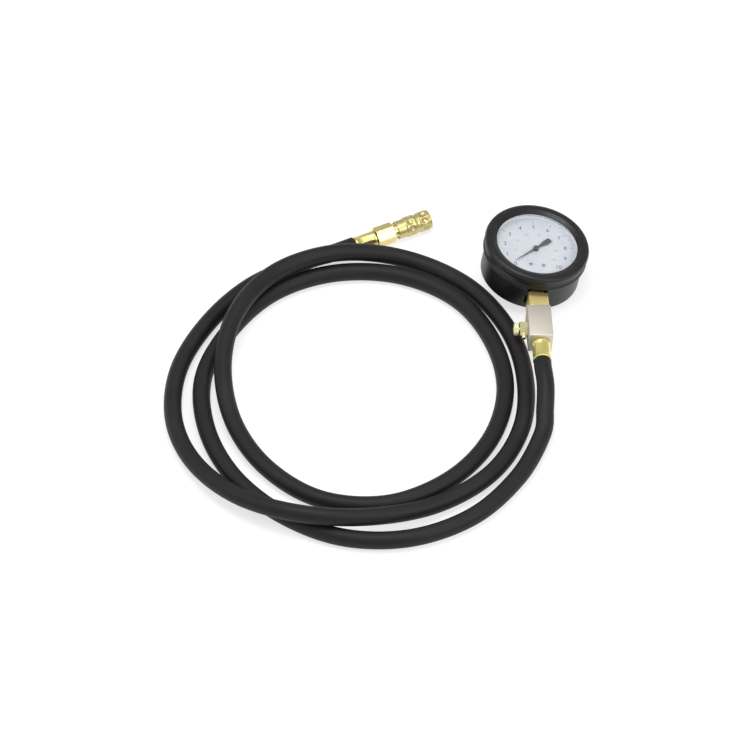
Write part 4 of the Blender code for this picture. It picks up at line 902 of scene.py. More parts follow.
@dataclass(frozen=True)
class Studio:
    """Camera, floor, world and lamps."""

    aim: tuple[float, float, float] = (-0.11427, -0.06217, 0.0)
    elevation: float = 48.0
    distance: float = 6.0
    focal: float = 405.6
    floor_size: float = 6.0
    floor_colour: float = 0.42
    floor_lift: float = 0.66
    world_strength: float = 0.58
    boxes: tuple[tuple[str, Triple, float, float], ...] = (
        ("top_box", (-0.20, -0.05, 1.6), 0.9, 12.0),
        ("left_box", (-1.5, -0.1, 0.9), 0.9, 4.0),
        ("right_box", (0.80, -0.75, 0.95), 0.55, 6.2))

    def build(self) -> None:
        """Set everything up."""
        self.camera()
        self.floor()
        self.world()
        self.lamps()
        bpy.context.scene.view_settings.view_transform = "Standard"

    def camera(self) -> None:
        """The photograph's viewpoint."""
        data = bpy.data.cameras.new("camera")
        data.lens = self.focal
        data.sensor_width = 36.0
        data.clip_end = 20.0
        item = bpy.data.objects.new("camera", data)
        slope = math.radians(self.elevation)
        away = Vector((0.0, -math.cos(slope), math.sin(slope)))
        item.location = Vector(self.aim) + away * self.distance
        item.rotation_euler = (math.pi / 2 - slope, 0.0, 0.0)
        bpy.context.scene.collection.objects.link(item)
        bpy.context.scene.camera = item

    def floor(self) -> None:
        """A pale floor that keeps the shadows and reads as white."""
        half = self.floor_size / 2
        item = Form().box((-half, -half, -0.002), (half, half, 0.0)).object("floor")
        graph = Graph("floor_paper")
        path = graph.node("ShaderNodeLightPath")
        seen = sum((Signal(graph, path.outputs[name]) for name in
                    ("Is Camera Ray", "Is Glossy Ray", "Is Transmission Ray")), 0.0)
        glow = seen.maths("MINIMUM", 1.0) * self.floor_lift
        lift = graph.node("ShaderNodeCombineColor", None, {0: glow, 1: glow, 2: glow})
        grey = self.floor_colour
        item.data.materials.append(graph.dress(
            Base_Color=(grey, grey, grey), Roughness=0.9, Specular_IOR_Level=0.1,
            Emission_Color=lift.outputs[0], Emission_Strength=1.0))

    def world(self) -> None:
        """White to the eye, softer as light."""
        world = bpy.data.worlds.new("studio")
        bpy.context.scene.world = world
        world.use_nodes = True
        nodes, links = world.node_tree.nodes, world.node_tree.links
        plain, white = nodes["Background"], nodes.new("ShaderNodeBackground")
        for ground, strength in ((plain, self.world_strength), (white, 1.0)):
            ground.inputs["Strength"].default_value = strength
            ground.inputs["Color"].default_value = (1.0, 1.0, 1.0, 1.0)
        path = nodes.new("ShaderNodeLightPath")
        mix = nodes.new("ShaderNodeMixShader")
        links.new(path.outputs["Is Camera Ray"], mix.inputs[0])
        links.new(plain.outputs[0], mix.inputs[1])
        links.new(white.outputs[0], mix.inputs[2])
        links.new(mix.outputs[0], nodes["World Output"].inputs[0])

    def lamps(self) -> None:
        """Soft boxes: a large one above, one at the left and one at the front right."""
        for name, spot, size, power in self.boxes:
            data = bpy.data.lights.new(name, "AREA")
            data.shape = "SQUARE"
            data.size = size
            data.energy = power
            item = bpy.data.objects.new(name, data)
            item.location = spot
            aim = Vector(self.aim) - Vector(spot)
            item.rotation_euler = aim.to_track_quat("-Z", "Y").to_euler()
            bpy.context.scene.collection.objects.link(item)


# Hose


HOSE_ROUTE_MM = (
    (6.2, -90, 20.5), (5.7, -107, 14.5), (3.4, -127, 9), (-14, -165, 7), (-46, -201, 6.5),
    (-90, -221, 6.5), (-138, -220, 6.5), (-181, -198, 6.5), (-214, -163, 6.5),
    (-233, -119, 6.5), (-236, -71, 6.5), (-218, -26, 6.5), (-187, 11, 6.5), (-144, 30, 6.5),
    (-97, 28, 6.5), (-56, 5, 6.5), (-31, -35, 6.5), (-22, -82, 6.5), (-33, -129, 6.5),
    (-62, -167, 6.5), (-105, -189, 6.5), (-152, -185, 6.5), (-190, -156, 6.5),
    (-214, -114, 8), (-222, -67, 15), (-213, -21, 20.5), (-185, 19, 20), (-141, 40, 17.5),
    (-93, 42, 9), (-49, 18, 7), (-20, -23, 6.5), (-8, -70, 6.5), (-11, -118, 6.5),
    (-32, -160, 6.5), (-70, -190, 7.5), (-116, -208, 14.5), (-164, -211, 20.5),
    (-208, -190, 14.5), (-240, -154, 8), (-256, -112, 6.5), (-254, -65, 6.5),
    (-235, -21, 6.5), (-205, 16, 6.5), (-165, 41, 6.8),
)


@dataclass(frozen=True)
class Hose:
    """The rubber hose, one tube from the head's ferrule to the coupler's."""

    radius: float = 0.00635
    sides: int = 28
    spacing: float = 0.0042
    lead_out: float = 0.006
    lead_in: float = 0.016
    fine_steps: int = 24

    def route(self) -> list[Vector]:
        """Smooth, evenly spaced points along the middle of the hose."""
        stem, coupler = LAYOUT.stem(), LAYOUT.coupler()
        first = stem @ Vector((0, 0, LAYOUT.hose_start))
        second = stem @ Vector((0, 0, LAYOUT.hose_start + self.lead_out))
        last = coupler @ Vector((0, 0, 0))
        before = coupler @ Vector((0, 0, -self.lead_in))
        knots = ([first, second] + [Vector(spot) * MM for spot in HOSE_ROUTE_MM]
                 + [before, last])
        ends = [2 * knots[0] - knots[1]] + knots + [2 * knots[-1] - knots[-2]]
        fine: list[Vector] = []
        for a, b, c, d in zip(ends, ends[1:], ends[2:], ends[3:]):
            for k in range(self.fine_steps):
                t = k / self.fine_steps
                fine.append(0.5 * (2 * b + (c - a) * t
                                   + (2 * a - 5 * b + 4 * c - d) * t ** 2
                                   + (3 * b - a - 3 * c + d) * t ** 3))
        fine.append(knots[-1])
        reach = [0.0]
        for a, b in zip(fine, fine[1:]):
            reach.append(reach[-1] + (b - a).length)
        count = round(reach[-1] / self.spacing)
        even, spot = [], 0
        for k in range(count + 1):
            want = reach[-1] * k / count
            while spot < len(reach) - 2 and reach[spot + 1] < want:
                spot += 1
            share = (want - reach[spot]) / (reach[spot + 1] - reach[spot])
            even.append(fine[spot].lerp(fine[spot + 1], min(1.0, share)))
        return even

    def build(self) -> tuple[bpy.types.Object, list[Vector]]:
        """Make the tube with metres along and round it as its UV.

        Returns:
            The hose and the points that it follows.
        """
        path = self.route()
        side = Vector((1, 0, 0))
        rings = []
        for k, spot in enumerate(path):
            ahead = (path[min(k + 1, len(path) - 1)] - path[max(k - 1, 0)]).normalized()
            side = (side - ahead * side.dot(ahead)).normalized()
            up = ahead.cross(side)
            rings.append([spot + self.radius * (side * math.cos(a) + up * math.sin(a))
                          for a in (2 * math.pi * n / self.sides
                                    for n in range(self.sides))])
        item = Form().loft(rings).object("hose_tube")
        self.unwrap(item.data)
        return item, path

    def unwrap(self, data: bpy.types.Mesh) -> None:
        """Give each face metres along and round the hose.

        Args:
            data: The hose's mesh, whose points run ring by ring.
        """
        layer = data.uv_layers.new(name="along_and_round")
        around = 2 * math.pi * self.radius / self.sides
        for face in data.polygons:
            places = [(data.loops[k].vertex_index // self.sides,
                       data.loops[k].vertex_index % self.sides)
                      for k in face.loop_indices]
            wraps = (len(places) == 4
                     and max(p[1] for p in places) - min(p[1] for p in places) > 1)
            for k, (ring, step) in zip(face.loop_indices, places):
                if wraps and step == 0:
                    step = self.sides
                layer.data[k].uv = (ring * self.spacing, step * around)


# Head


@dataclass(frozen=True)
class RubberBoot:
    """The boot: a cup with a broad front band, a bead under it and a lip."""

    radius: float = 0.0357
    band_radius: float = 0.0375
    base: float = -0.0043
    inside: float = -0.0021
    bead: float = 0.0140
    band_start: float = 0.0170
    height: float = 0.0283
    bore: float = 0.0323
    seat: float = 0.0272
    seat_height: float = -0.0010
    bezel_bore: float = 0.0335
    bezel_start: float = 0.0196
    lip_opening: float = 0.0293
    lip_height: float = 0.0267
    ledge: float = 0.0260
    window_low: float = 0.00115
    window_high: float = 0.0167
    window_half: float = 0.0076
    window_near: float = -0.027
    window_far: float = -0.046
    window_edge: float = 0.0012
    segments: int = 144

    def profile(self) -> Sequence[tuple]:
        """Half section, from the outer edge of the back."""
        r, band, top = self.radius, self.band_radius, self.height
        low, lip = self.band_start, self.lip_opening
        return (
            (r, self.base, 0.0022), (r, self.bead, 0.0010),
            (r + 0.0007, self.bead + 0.0010, 0.0010), (r + 0.0007, low - 0.0008, 0.0006),
            (r - 0.0001, low, 0.0003), (band - 0.0003, low, 0.0003),
            (band + 0.0004, low + 0.0009, 0.0007), (band - 0.0006, low + 0.0026, 0.0016),
            (band - 0.0007, top - 0.0050, 0.0026), (band + 0.0006, top - 0.0028, 0.0014),
            (band - 0.0004, top - 0.0005, 0.0011), (band - 0.0026, top + 0.0002, 0.0022),
            (lip + 0.0032, top, 0.0026), (lip, self.lip_height, 0.0005),
            (lip, self.ledge), (self.bezel_bore, self.ledge),
            (self.bezel_bore, self.bezel_start), (self.bore, self.bezel_start),
            (self.bore, self.seat_height), (self.seat, self.seat_height),
            (self.seat, self.inside))

    def build(self) -> None:
        """Make the boot with its window for the stem."""
        head, half = LAYOUT.head(), self.window_half
        boot = Form(head).solid(self.profile(), self.segments, 6).object("boot")
        window = Form(head).box((-half, self.window_far, self.window_low),
                                (half, self.window_near, self.window_high))
        cut(boot, window.soften(self.window_edge, 4))
        place(boot, Finish.BOOT, instead_of=["rubber_boot"])


@dataclass(frozen=True)
class DialFace:
    """Dial, its print, the ring round it, the lens and the dial screws."""

    face: float = 0.0205
    thickness: float = 0.0006
    radius: float = 0.0306
    hole: float = 0.0020
    ink: float = 0.00004
    ring_outer: float = 0.0309
    ring_inner: float = 0.0303
    lens_bottom: float = 0.0234
    lens_top: float = 0.0247
    lens_radius: float = 0.0317
    zero: float = 225.0
    sweep: float = 270.0
    outer_end: int = 10
    outer_parts: int = 5
    inner_end: float = 145.0
    inner_step: int = 20
    ring_gap: float = 0.00003
    tick_end: float = 0.0287
    long_tick: Point2 = (0.0030, 0.00045)
    short_tick: Point2 = (0.0014, 0.00020)
    inner_tick: Triple = (0.0172, 0.0182, 0.00022)
    outer_print: Point2 = (0.0048, 0.0222)
    inner_print: Point2 = (0.0026, 0.0148)
    segments: int = 128
    screws: tuple[Point2, ...] = ((-0.0046, -0.0155), (0.0046, -0.0155))

    def build(self) -> None:
        """Make everything that the lens shows but the pointer."""
        head, back = LAYOUT.head(), self.face - self.thickness
        dial = Form(head).turn((
            (self.hole, back), (self.radius, back), (self.radius, self.face, 0.0001),
            (self.hole, self.face, 0.0001)), self.segments, 2)
        place(dial.object("dial"), Finish.DIAL, instead_of=["dial_plate"])
        ring = Form(head).tube((self.ring_inner, self.ring_outer),
                               self.face + self.ring_gap,
                               self.lens_bottom - self.ring_gap, self.segments)
        # The ring takes a white painted brighter than the dial's, to lift the shade under the
        # lip.
        place(ring.object("dial_ring"), Finish.RING,
              instead_of=["distance_ring"])
        lens = Form(head).solid((
            (self.lens_radius, self.lens_bottom),
            (self.lens_radius, self.lens_top, 0.0004)), self.segments, 3)
        place(lens.object("lens_glass"), Finish.LENS, instead_of=["lens"])
        self.print_scale(head)
        self.print_numbers(head)
        for number, spot in enumerate(self.screws, 1):
            self.screw(head @ Matrix.Translation((*spot, 0.0)), number)

    def angle(self, share: float) -> float:
        """Direction of a share of the scale."""
        return math.radians(self.zero - self.sweep * share)

    def print_scale(self, head: Matrix) -> None:
        """Ticks of both scales.

        Args:
            head: Frame of the head.
        """
        outer, inner = Form(head), Form(head)
        count = self.outer_end * self.outer_parts
        for k in range(count + 1):
            length, width = self.short_tick if k % self.outer_parts else self.long_tick
            outer.add(self.tick(k / count, self.tick_end - length, self.tick_end, width))
        for value in range(0, int(self.inner_end) + 1, 10):
            inner.add(self.tick(value / self.inner_end, *self.inner_tick))
        place(outer.object("dial_ticks"), Finish.FAINT_INK)
        place(inner.object("dial_inner_scale"), Finish.RED_INK)

    def tick(self, share: float, low: float, high: float, width: float) -> Form:
        """One straight tick."""
        bar = Form().box((low, -width / 2, self.face), (high, width / 2,
                                                        self.face + self.ink))
        bar.mesh.transform(Matrix.Rotation(self.angle(share), 4, "Z"))
        return bar

    def print_numbers(self, head: Matrix) -> None:
        """Plain numbers of both scales.

        Args:
            head: Frame of the head.
        """
        outer, inner = Form(head), Form(head)
        for value in range(self.outer_end + 1):
            outer.add(self.number(str(value), value / self.outer_end, *self.outer_print))
        for value in range(0, int(self.inner_end), self.inner_step):
            inner.add(self.number(str(value), value / self.inner_end, *self.inner_print))
        place(outer.object("dial_numbers"), Finish.INK)
        place(inner.object("dial_inner_numbers"), Finish.RED_INK)

    def number(self, text: str, share: float, size: float, radius: float) -> Form:
        """One number as a thin raised print.

        Args:
            text: Its digits.
            share: Its place on the scale, from 0 to 1.
            size: Height of the digits' body.
            radius: Distance of its middle from the hub.

        Returns:
            The number.
        """
        curve = bpy.data.curves.new("digits", "FONT")
        curve.body = text
        curve.size = size
        curve.align_x, curve.align_y = "CENTER", "CENTER"
        curve.extrude = self.ink / 2
        curve.resolution_u = 3
        carrier = bpy.data.objects.new("digits", curve)
        bpy.context.scene.collection.objects.link(carrier)
        bpy.context.view_layer.update()
        ready = carrier.evaluated_get(bpy.context.evaluated_depsgraph_get())
        data = bpy.data.meshes.new_from_object(ready)
        form = Form()
        form.mesh.from_mesh(data)
        bmesh.ops.remove_doubles(form.mesh, verts=form.mesh.verts, dist=MERGE)
        turn = self.angle(share)
        spot = (radius * math.cos(turn), radius * math.sin(turn),
                self.face + self.ink / 2)
        form.mesh.transform(Matrix.Translation(spot))
        bpy.data.objects.remove(carrier, do_unlink=True)
        bpy.data.meshes.remove(data)
        bpy.data.curves.remove(curve)
        return form

    def screw(self, stand: Matrix, number: int) -> None:
        """A slotted dial screw.

        Args:
            stand: Frame of the screw, with the dial's heights.
            number: Which screw.
        """
        low, root = self.face + 0.0003, self.face - 0.0040
        item = Form(stand).turn((
            (0.0, root), (0.0007, root), (0.0007, low), (0.0013, low),
            (0.0013, low + 0.0005, 0.0003), (0.0, low + 0.0008)),
            32, 3).object(f"dial_screw_head_{number}")
        slot = Form(stand).box((-0.0016, -0.00018, low + 0.0004),
                               (0.0016, 0.00018, low + 0.002))
        slot.mesh.transform(Matrix.Rotation(math.radians(35 * number), 4, "Z"))
        cut(item, slot)
        place(item, Finish.GREY_STEEL, instead_of=[f"dial_screw_{number}"])


@dataclass(frozen=True)
class Pointer:
    """Pointer with a fine tip, a broad tail and a domed hub."""

    face: float = 0.0205
    tip: float = 0.0205
    tail: float = 0.0146
    tail_half: float = 0.0019
    thickness: float = 0.0005
    hub_radius: float = 0.0019
    bore: float = 0.0011
    zero: float = -139.0

    def build(self) -> None:
        """Make the blade and the hub."""
        stand = LAYOUT.head() @ Matrix.Rotation(math.radians(self.zero), 4, "Z")
        face, low = self.face, self.face + 0.0010
        tail, half, hub = self.tail, self.tail_half, self.hub_radius
        side = ((self.tip, 0.00010), (0.0030, 0.00055), (0.0, 0.0009, 0.001),
                (-0.0032, 0.0007, 0.002), (-tail * 0.45, half * 0.62, 0.003),
                (-tail * 0.62, half, 0.003), (-tail * 0.97, half, 0.0008),
                (-tail, half * 0.7, 0.0006))
        outline = filleted(side + tuple((p[0], -p[1], *p[2:]) for p in reversed(side)), 4)
        blade = Form(stand).slab(outline, low, low + self.thickness).soften(0.00008)
        dome = Form(stand).solid((
            (hub, face + 0.0006), (hub, face + 0.0021, 0.0002),
            (hub - 0.0002, face + 0.0025, 0.0006)), 48, 4)
        item = cut(blade.object("pointer_hand"), dome, operation="UNION")
        cut(item, Form(stand).rod(self.bore, face - 0.001, face + 0.0022, 24))
        place(item, Finish.POINTER, "pointer_arbor", ["pointer"])


# Block, bleed valve and crimps


@dataclass(frozen=True)
class CrimpedFerrule:
    """Crimped shell over the hose."""

    name: str
    node: str
    radius: float
    start: float
    length: float
    finish: Finish = Finish.BRASS
    skirt: float = 0.0
    bore: float = 0.0037
    mouth: float = 0.0054
    flats: int = 8
    flat_reach: float = 1.005
    flat_ends: float = 0.0008

    def build(self, stand: Matrix) -> bpy.types.Object:
        """Make the shell.

        Args:
            stand: Frame with Z along the hose.

        Returns:
            The ferrule.
        """
        start, end, r = self.start, self.start + self.length, self.radius
        low, high = start + 0.0026, end - 0.0022
        rows = ((r, start + 0.0018, 0.0006), (r - 0.0001, low - 0.0002, 0.0002),
                *column(r - 0.0002, low, high, 6),
                (r - 0.0001, high + 0.0002, 0.0002), (r, high + 0.0008, 0.0004))
        bore, mouth, seat = self.bore, self.mouth, start + self.skirt
        profile = (((mouth if self.skirt else bore), start), (r - 0.0006, start, 0.0003),
                   (r, start + 0.0006, 0.0004), *rows, (r, end - 0.0004, 0.0004),
                   (r - 0.0005, end, 0.0003), (bore, end),
                   *(((bore, seat), (mouth, seat)) if self.skirt else ()))
        step = 2 * math.pi / self.flats

        def flatten(reach: float, angle: float, height: float) -> float:
            """Flatten the shell between its two beads."""
            if reach < r - 0.0005 or not low - 1e-6 <= height <= high + 1e-6:
                return 1.0
            off = (angle + 2 * math.pi) % step - step / 2
            inner = math.cos(step / 2) * self.flat_reach / math.cos(off)
            edge = min(height - low, high - height) / self.flat_ends
            share = min(1.0, max(0.0, edge))
            return 1 + (min(1.0, inner) - 1) * share

        item = Form(stand).turn(profile, 16 * self.flats, 3).press(flatten).object(
            self.name, 25.0)
        return place(item, self.finish, instead_of=[self.node])


@dataclass(frozen=True)
class ManifoldBlock:
    """Square block with rounded edges and its three ports."""

    half: float = 0.0085
    start: float = 0.0525
    length: float = 0.0300
    nipple_start: float = 0.0743
    edge: float = 0.0007
    thread_radius: float = 0.0068
    thread_depth: float = 0.0122
    passage: float = 0.0020
    nipple_radius: float = 0.0053
    port: tuple[Point2, ...] = ((0.0007, 0.0005), (0.0007, 0.0037), (0.0033, 0.0037),
                                (0.0033, 0.0081), (0.0041, 0.0095))

    def build(self) -> None:
        """Make the block."""
        stem, half = LAYOUT.block(), self.half
        start, end = self.start, self.start + self.length
        floor = start + self.thread_depth
        block = Form(stem).box((-half, -half, start), (half, half, end))
        item = block.soften(self.edge, 3).object("block")
        bore = Form(stem).solid((
            (0.0076, start - 0.001), (self.thread_radius, start + 0.0005),
            (self.thread_radius, floor), (self.passage, floor),
            (self.passage, self.nipple_start), (self.nipple_radius, self.nipple_start),
            (self.nipple_radius, end - 0.0004), (0.0060, end + 0.001)), 96, 4)
        cut(item, bore, Form(LAYOUT.bleed()).solid(self.port, 64))
        place(item, Finish.NICKEL, instead_of=["manifold_block"])


@dataclass(frozen=True)
class BleedValve:
    """Hexagon body with a side spout, and its knurled thumb screw."""

    thread_radius: float = 0.0030
    inner_end: float = 0.0040
    hex_flats: float = 0.0100
    hex_start: float = 0.0087
    hex_length: float = 0.0056
    spout_radius: float = 0.0017
    spout_reach: float = 0.0088
    spout_bore: float = 0.0008
    seat_bore: float = 0.0007
    seat_end: float = 0.0072
    clear_start: float = 0.0085
    clearance: float = 0.0003
    knob_radius: float = 0.00445
    knob_length: float = 0.0037
    screw_radius: float = 0.0017
    screw_reach: float = 0.0075
    flutes: int = 32
    flute_depth: float = 0.00028

    def build(self) -> None:
        """Make the body and the screw."""
        self.body(LAYOUT.bleed())
        self.screw(LAYOUT.bleed())

    def body(self, bleed: Matrix) -> None:
        """Body with thread, hexagon and spout.

        Args:
            bleed: Frame of the valve.
        """
        start, end = self.hex_start, self.hex_start + self.hex_length
        item = Form(bleed).solid((
            (self.thread_radius, self.inner_end, 0.0003),
            (self.thread_radius, end - 0.001)), 64, 4).object("bleed_valve")
        corner = self.hex_flats / math.sqrt(3)
        hexagon = nut(bleed, "nut", self.hex_flats, (start, end),
                      (corner - 0.0006, 0.0004))
        side = (bleed @ Matrix.Translation((0, 0, (start + end) / 2))
                @ Matrix.Rotation(math.pi / 2, 4, "Y"))
        r, reach = self.spout_radius, self.spout_reach
        spout = Form(side).solid((
            (r, 0.0005), (r, reach - 0.0024, 0.0002), (r - 0.0003, reach - 0.0021, 0.0002),
            (r - 0.0003, reach - 0.0012, 0.0002), (r, reach - 0.0009, 0.0002),
            (r - 0.0004, reach, 0.0002)), 48, 4)
        cut(item, hexagon, spout, operation="UNION")
        passage = Form(side).rod(self.spout_bore, 0.0012, reach + 0.001, 32)
        clear = self.screw_radius + self.clearance
        bore = Form(bleed).solid((
            (self.seat_bore, self.inner_end - 0.001), (self.seat_bore, self.seat_end),
            (clear, self.clear_start), (clear, end + 0.001)), 48)
        cut(item, bore, passage)
        place(item, Finish.PALE_BRASS, instead_of=["bleed_body"])

    def screw(self, bleed: Matrix) -> None:
        """Knurled thumb screw with a needle end.

        Args:
            bleed: Frame of the valve.
        """
        start = self.hex_start + self.hex_length + 0.0006
        end = start + self.knob_length
        r = self.knob_radius
        tip, shank = self.screw_reach, self.screw_radius
        profile = ((0.0, tip), (shank, tip + shank), (shank, start),
                   (r - 0.0008, start, 0.0002), (r, start + 0.0006, 0.0003),
                   (r, start + 0.0012), (r, (start + end) / 2), (r, end - 0.0012),
                   (r, end - 0.0006, 0.0003), (r - 0.0007, end, 0.0003),
                   (0.0018, end, 0.0002), (0.0014, end - 0.0003, 0.0002),
                   (0.0, end - 0.0003))

        def flute(reach: float, angle: float, height: float) -> float:
            """Press a straight knurl into the rim."""
            edge = min(height - start - 0.0004, end - 0.0004 - height) / 0.0004
            if reach < r - 0.0003 or edge <= 0:
                return 1.0
            wave = 0.5 - 0.5 * math.cos(self.flutes * angle)
            return 1 - self.flute_depth * wave * min(1.0, edge) / reach

        item = Form(bleed).turn(profile, 8 * self.flutes, 3).press(flute).object(
            "thumb_screw_knob", 50.0)
        place(item, Finish.PALE_BRASS, "thumb_screw", ["bleed_screw"])


# Coupler


@dataclass(frozen=True)
class Coupler:
    """Quick coupler: hexagon body, sliding sleeve and what shows in its mouth."""

    hex_flats: float = 0.0128
    hex_start: float = 0.0172
    hex_end: float = 0.0311
    hex_turn: float = 10.0
    neck_radius: float = 0.0056
    neck_hollow: float = 0.0051
    shoulder: float = 0.0380
    front_radius: float = 0.00495
    end: float = 0.0586
    bore: float = 0.0040
    inlet_radius: float = 0.0045
    inlet_end: float = 0.0285
    throat_radius: float = 0.0024
    throat_start: float = 0.0435
    throat_end: float = 0.0460
    sleeve_start: float = 0.0338
    sleeve_end: float = 0.0600
    collar_radius: float = 0.0066
    collar_length: float = 0.0064
    band_radius: float = 0.00725
    groove_radius: float = 0.0066
    chamber: float = 0.00595
    land: float = 0.00525
    land_start: float = 0.0460
    release_start: float = 0.0530
    release_end: float = 0.0558
    lip_end: float = 0.0565
    rear_band: Point2 = (0.0007, 0.0073)
    front_band: Point2 = (0.0014, 0.0078)
    scallops: int = 9
    scallop_depth: float = 0.0007
    scallop_reach: float = 0.86
    ball_station: float = 0.0515
    ring_station: float = 0.0572
    ring_wire: float = 0.0004
    spring_wire: float = 0.00025
    spring_gap: float = 0.00015
    sleeve_coil: Point2 = (0.00545, 4.5)
    poppet_coil: Point2 = (0.0028, 5.0)
    poppet_span: Point2 = (0.02825, 0.04085)
    chamfer: float = 0.0007
    hole_radius: float = 0.0013
    ball_radius: float = 0.0010
    ball_count: int = 4

    def build(self) -> list[bpy.types.Object]:
        """Make the pieces of the coupler.

        Returns:
            The pieces that the hose carries.
        """
        coupler = LAYOUT.coupler()
        pieces = [self.body(coupler), self.sleeve(coupler)]
        sleeve_span = (self.shoulder + self.spring_gap, self.land_start - self.spring_gap)
        for name, node, other, (radius, turns), span in (
                ("sleeve_coil", "sleeve_spring", "sleeve", self.sleeve_coil, sleeve_span),
                ("poppet_coil", "poppet_spring", "valve", self.poppet_coil,
                 self.poppet_span)):
            spring = helix(coupler, radius, self.spring_wire, span, turns).object(name)
            ends = [coupler @ Vector((0.0, 0.0, height)) for height in span]
            pieces.append(place(spring, Finish.SPRING,
                                instead_of=[node], across=(other, *ends)))
        pieces.append(self.snap_ring(coupler))
        pieces += self.balls(coupler)
        return pieces

    def body(self, coupler: Matrix) -> bpy.types.Object:
        """Hexagon, barrel and bores."""
        neck, hollow, front = self.neck_radius, self.neck_hollow, self.front_radius
        start, end = self.hex_start, self.hex_end
        item = nut(coupler, "coupler_barrel", self.hex_flats, (start, end),
                   (self.hex_flats / 2, self.chamfer), self.hex_turn)
        barrel = Form(coupler).solid((
            (hollow, end - 0.002), (hollow, end + 0.0028, 0.0003),
            (neck, end + 0.0031, 0.0003), (neck, self.shoulder, 0.0002),
            (front, self.shoulder), (front, self.end, 0.0003)), 96, 4)
        cut(item, barrel, operation="UNION")
        bore, wide = self.bore, self.bore + 0.0004
        passage = Form(coupler).solid((
            (self.inlet_radius, start - 0.001), (self.inlet_radius, self.inlet_end),
            (bore, self.inlet_end), (bore, self.throat_start),
            (self.throat_radius, self.throat_start),
            (self.throat_radius, self.throat_end), (bore, self.throat_end),
            (bore, self.end - 0.0004), (wide, self.end), (wide, self.end + 0.001)))
        holes = Form(coupler)
        for k in range(self.ball_count):
            holes.add(Form().rod(self.hole_radius, 0.002, 0.007, 32),
                      self.ball_frame(k) @ Matrix.Rotation(math.pi / 2, 4, "Y"))
        groove = Form(coupler).tube((front - 0.0004, front + 0.001),
                                    self.ring_station - 0.00055,
                                    self.ring_station + 0.00055)
        cut(item, passage, holes, groove, smooth_angle=30.0)
        return place(item, Finish.BRASS_MILLED, instead_of=["coupler_body"])

    def ball_frame(self, number: int) -> Matrix:
        """Frame of a ball's hole with X pointing outward."""
        return (Matrix.Translation((0, 0, self.ball_station))
                @ Matrix.Rotation(math.pi / 2 * (number + 0.5), 4, "Z"))

    def sleeve(self, coupler: Matrix) -> bpy.types.Object:
        """Sleeve with two scalloped bands."""
        collar_end = self.sleeve_start + self.collar_length
        middle = (collar_end + self.sleeve_end) / 2
        band, groove = self.band_radius, self.groove_radius
        spans = [(base + low, base + high, shift) for base, (low, high), shift in (
            (collar_end, self.rear_band, 0.0), (middle, self.front_band, 0.5))]
        bands = [column(band, low, high, 14) for low, high, _ in spans]
        chamber, land = self.chamber, self.land
        profile = (
            (chamber, self.sleeve_start), (self.collar_radius, self.sleeve_start, 0.0003),
            (self.collar_radius, collar_end, 0.0001), *bands[0],
            (groove, middle - 0.0012, 0.0001), (groove, middle + 0.0008, 0.0001),
            *bands[1], (groove + 0.0003, self.sleeve_end - 0.0018, 0.0001),
            (groove + 0.0003, self.sleeve_end - 0.0003, 0.0003),
            (groove - 0.0003, self.sleeve_end, 0.0002), (chamber, self.sleeve_end),
            (chamber, self.lip_end), (land, self.lip_end), (land, self.release_end),
            (chamber, self.release_end), (chamber, self.release_start),
            (land, self.release_start), (land, self.land_start),
            (chamber, self.land_start))
        pitch = 2 * math.pi / self.scallops

        def dent(reach: float, angle: float, height: float) -> float:
            """Press the scallops into both bands."""
            for low, high, shift in spans:
                if reach >= groove + 0.0001 and low - 1e-6 <= height <= high + 1e-6:
                    turn = angle / pitch + shift
                    across = (turn - round(turn)) * 2
                    along = ((height - (low + high) / 2)
                             / ((high - low) / 2 * self.scallop_reach))
                    hollow = max(0.0, 1 - across * across * 1.1 - along * along)
                    hollow *= hollow * (3 - 2 * hollow)
                    return 1 - self.scallop_depth * 1.5 * hollow / reach
            return 1.0

        item = Form(coupler).turn(profile, 16 * self.scallops, 3).press(dent).object(
            "sliding_sleeve", 40.0)
        return place(item, Finish.BRASS_SLEEVE, "sleeve", ["coupler_sleeve"])

    def snap_ring(self, coupler: Matrix) -> bpy.types.Object:
        """Open wire ring in front of the sleeve's lip."""
        stations = [Matrix.Rotation(math.radians(5 * k), 4, "Z")
                    @ Matrix.Translation((self.front_radius + 0.0003, 0,
                                          self.ring_station))
                    @ Matrix.Rotation(math.pi / 2, 4, "X") for k in range(67)]
        item = Form(coupler).wire(self.ring_wire, 12, stations).object("wire_ring")
        return place(item, Finish.SPRING, instead_of=["snap_ring"])

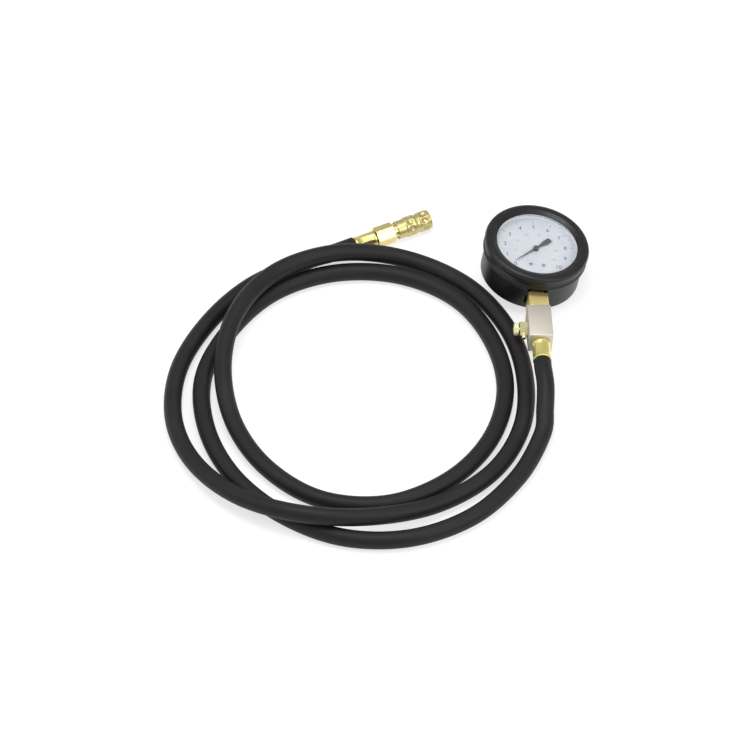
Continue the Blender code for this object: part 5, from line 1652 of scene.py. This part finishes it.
    def balls(self, coupler: Matrix) -> list[bpy.types.Object]:
        """The locking balls, polished."""
        made = []
        for k in range(self.ball_count):
            spot = self.ball_frame(k) @ Matrix.Translation(
                (self.front_radius - self.ball_radius, 0, 0))
            ball = Form(coupler @ spot)
            bmesh.ops.create_uvsphere(ball.mesh, u_segments=24, v_segments=16,
                                      radius=self.ball_radius)
            made.append(place(ball.object(f"steel_ball_{k + 1}"), Finish.STEEL,
                              instead_of=[f"locking_ball_{k + 1}"]))
        return made


def dress_inside() -> None:
    """Finishes of the model's own pieces that stay."""
    stem, coupler, dial = (tuple(stand.col[2][:3]) for stand in
                           (LAYOUT.stem(), LAYOUT.coupler(), LAYOUT.head()))
    for nodes, finish, axis in (
            ("gauge_case", Finish.ENAMEL, ()),
            # The bezel ring and the lens gasket take the ring's white, painted bright so that no
            # dark line of shade shows under the lip.
            ("bezel_ring lens_gasket", Finish.RING, ()),
            ("relief_plug plug_seal", Finish.SEAL, ()),
            # The stem socket's brass has a painted shade, darker at the end next to the boot.
            ("stem_socket", Finish.BRASS_CAST, stem),
            ("head_hose_nipple", Finish.BRASS, stem),
            ("bourdon_tube hairspring", Finish.BRONZE, dial),
            ("tube_tip movement_back_plate movement_front_plate movement_pillar_1 "
             "movement_pillar_2 movement_pillar_3 sector_gear tube_link hairspring_stud "
             "dial_post_1 dial_post_2", Finish.BRASS, dial),
            ("movement_screw_1 movement_screw_2 sector_arbor pinion_arbor tail_pin "
             "tip_pin case_screw_1 case_screw_2", Finish.STEEL, dial),
            ("coupler_nipple poppet", Finish.BRASS, coupler)):
        for node in nodes.split():
            dress_node(node, finish, axis)
    edges = frame["nodes"]["stem_socket"].modifiers.new("edges", "BEVEL")
    edges.width, edges.segments = 0.0004, 2
    edges.angle_limit = math.radians(40)


def main() -> None:
    """Build the set in order and report each piece."""
    logging.basicConfig(level=logging.INFO, format="%(message)s")
    Studio().build()
    hose, path = Hose().build()
    place(hose, Finish.HOSE, instead_of=["hose"])
    RubberBoot().build()
    DialFace().build()
    Pointer().build()
    ManifoldBlock().build()
    BleedValve().build()
    CrimpedFerrule("block_crimp", "head_ferrule", radius=0.0067, start=0.0828,
                   length=0.0170, finish=Finish.BRASS_TUMBLED,
                   skirt=0.0038).build(LAYOUT.block())
    tail = CrimpedFerrule("coupler_crimp", "coupler_ferrule", radius=0.0058,
                          start=0.0003, length=0.0166).build(LAYOUT.coupler())
    on_hose = [tail, *Coupler().build()]
    dress_inside()
    on_hose += [frame["nodes"][name] for name in
                ("coupler_nipple", "poppet", "plug_seal")]


if __name__ == "__main__":
    main()
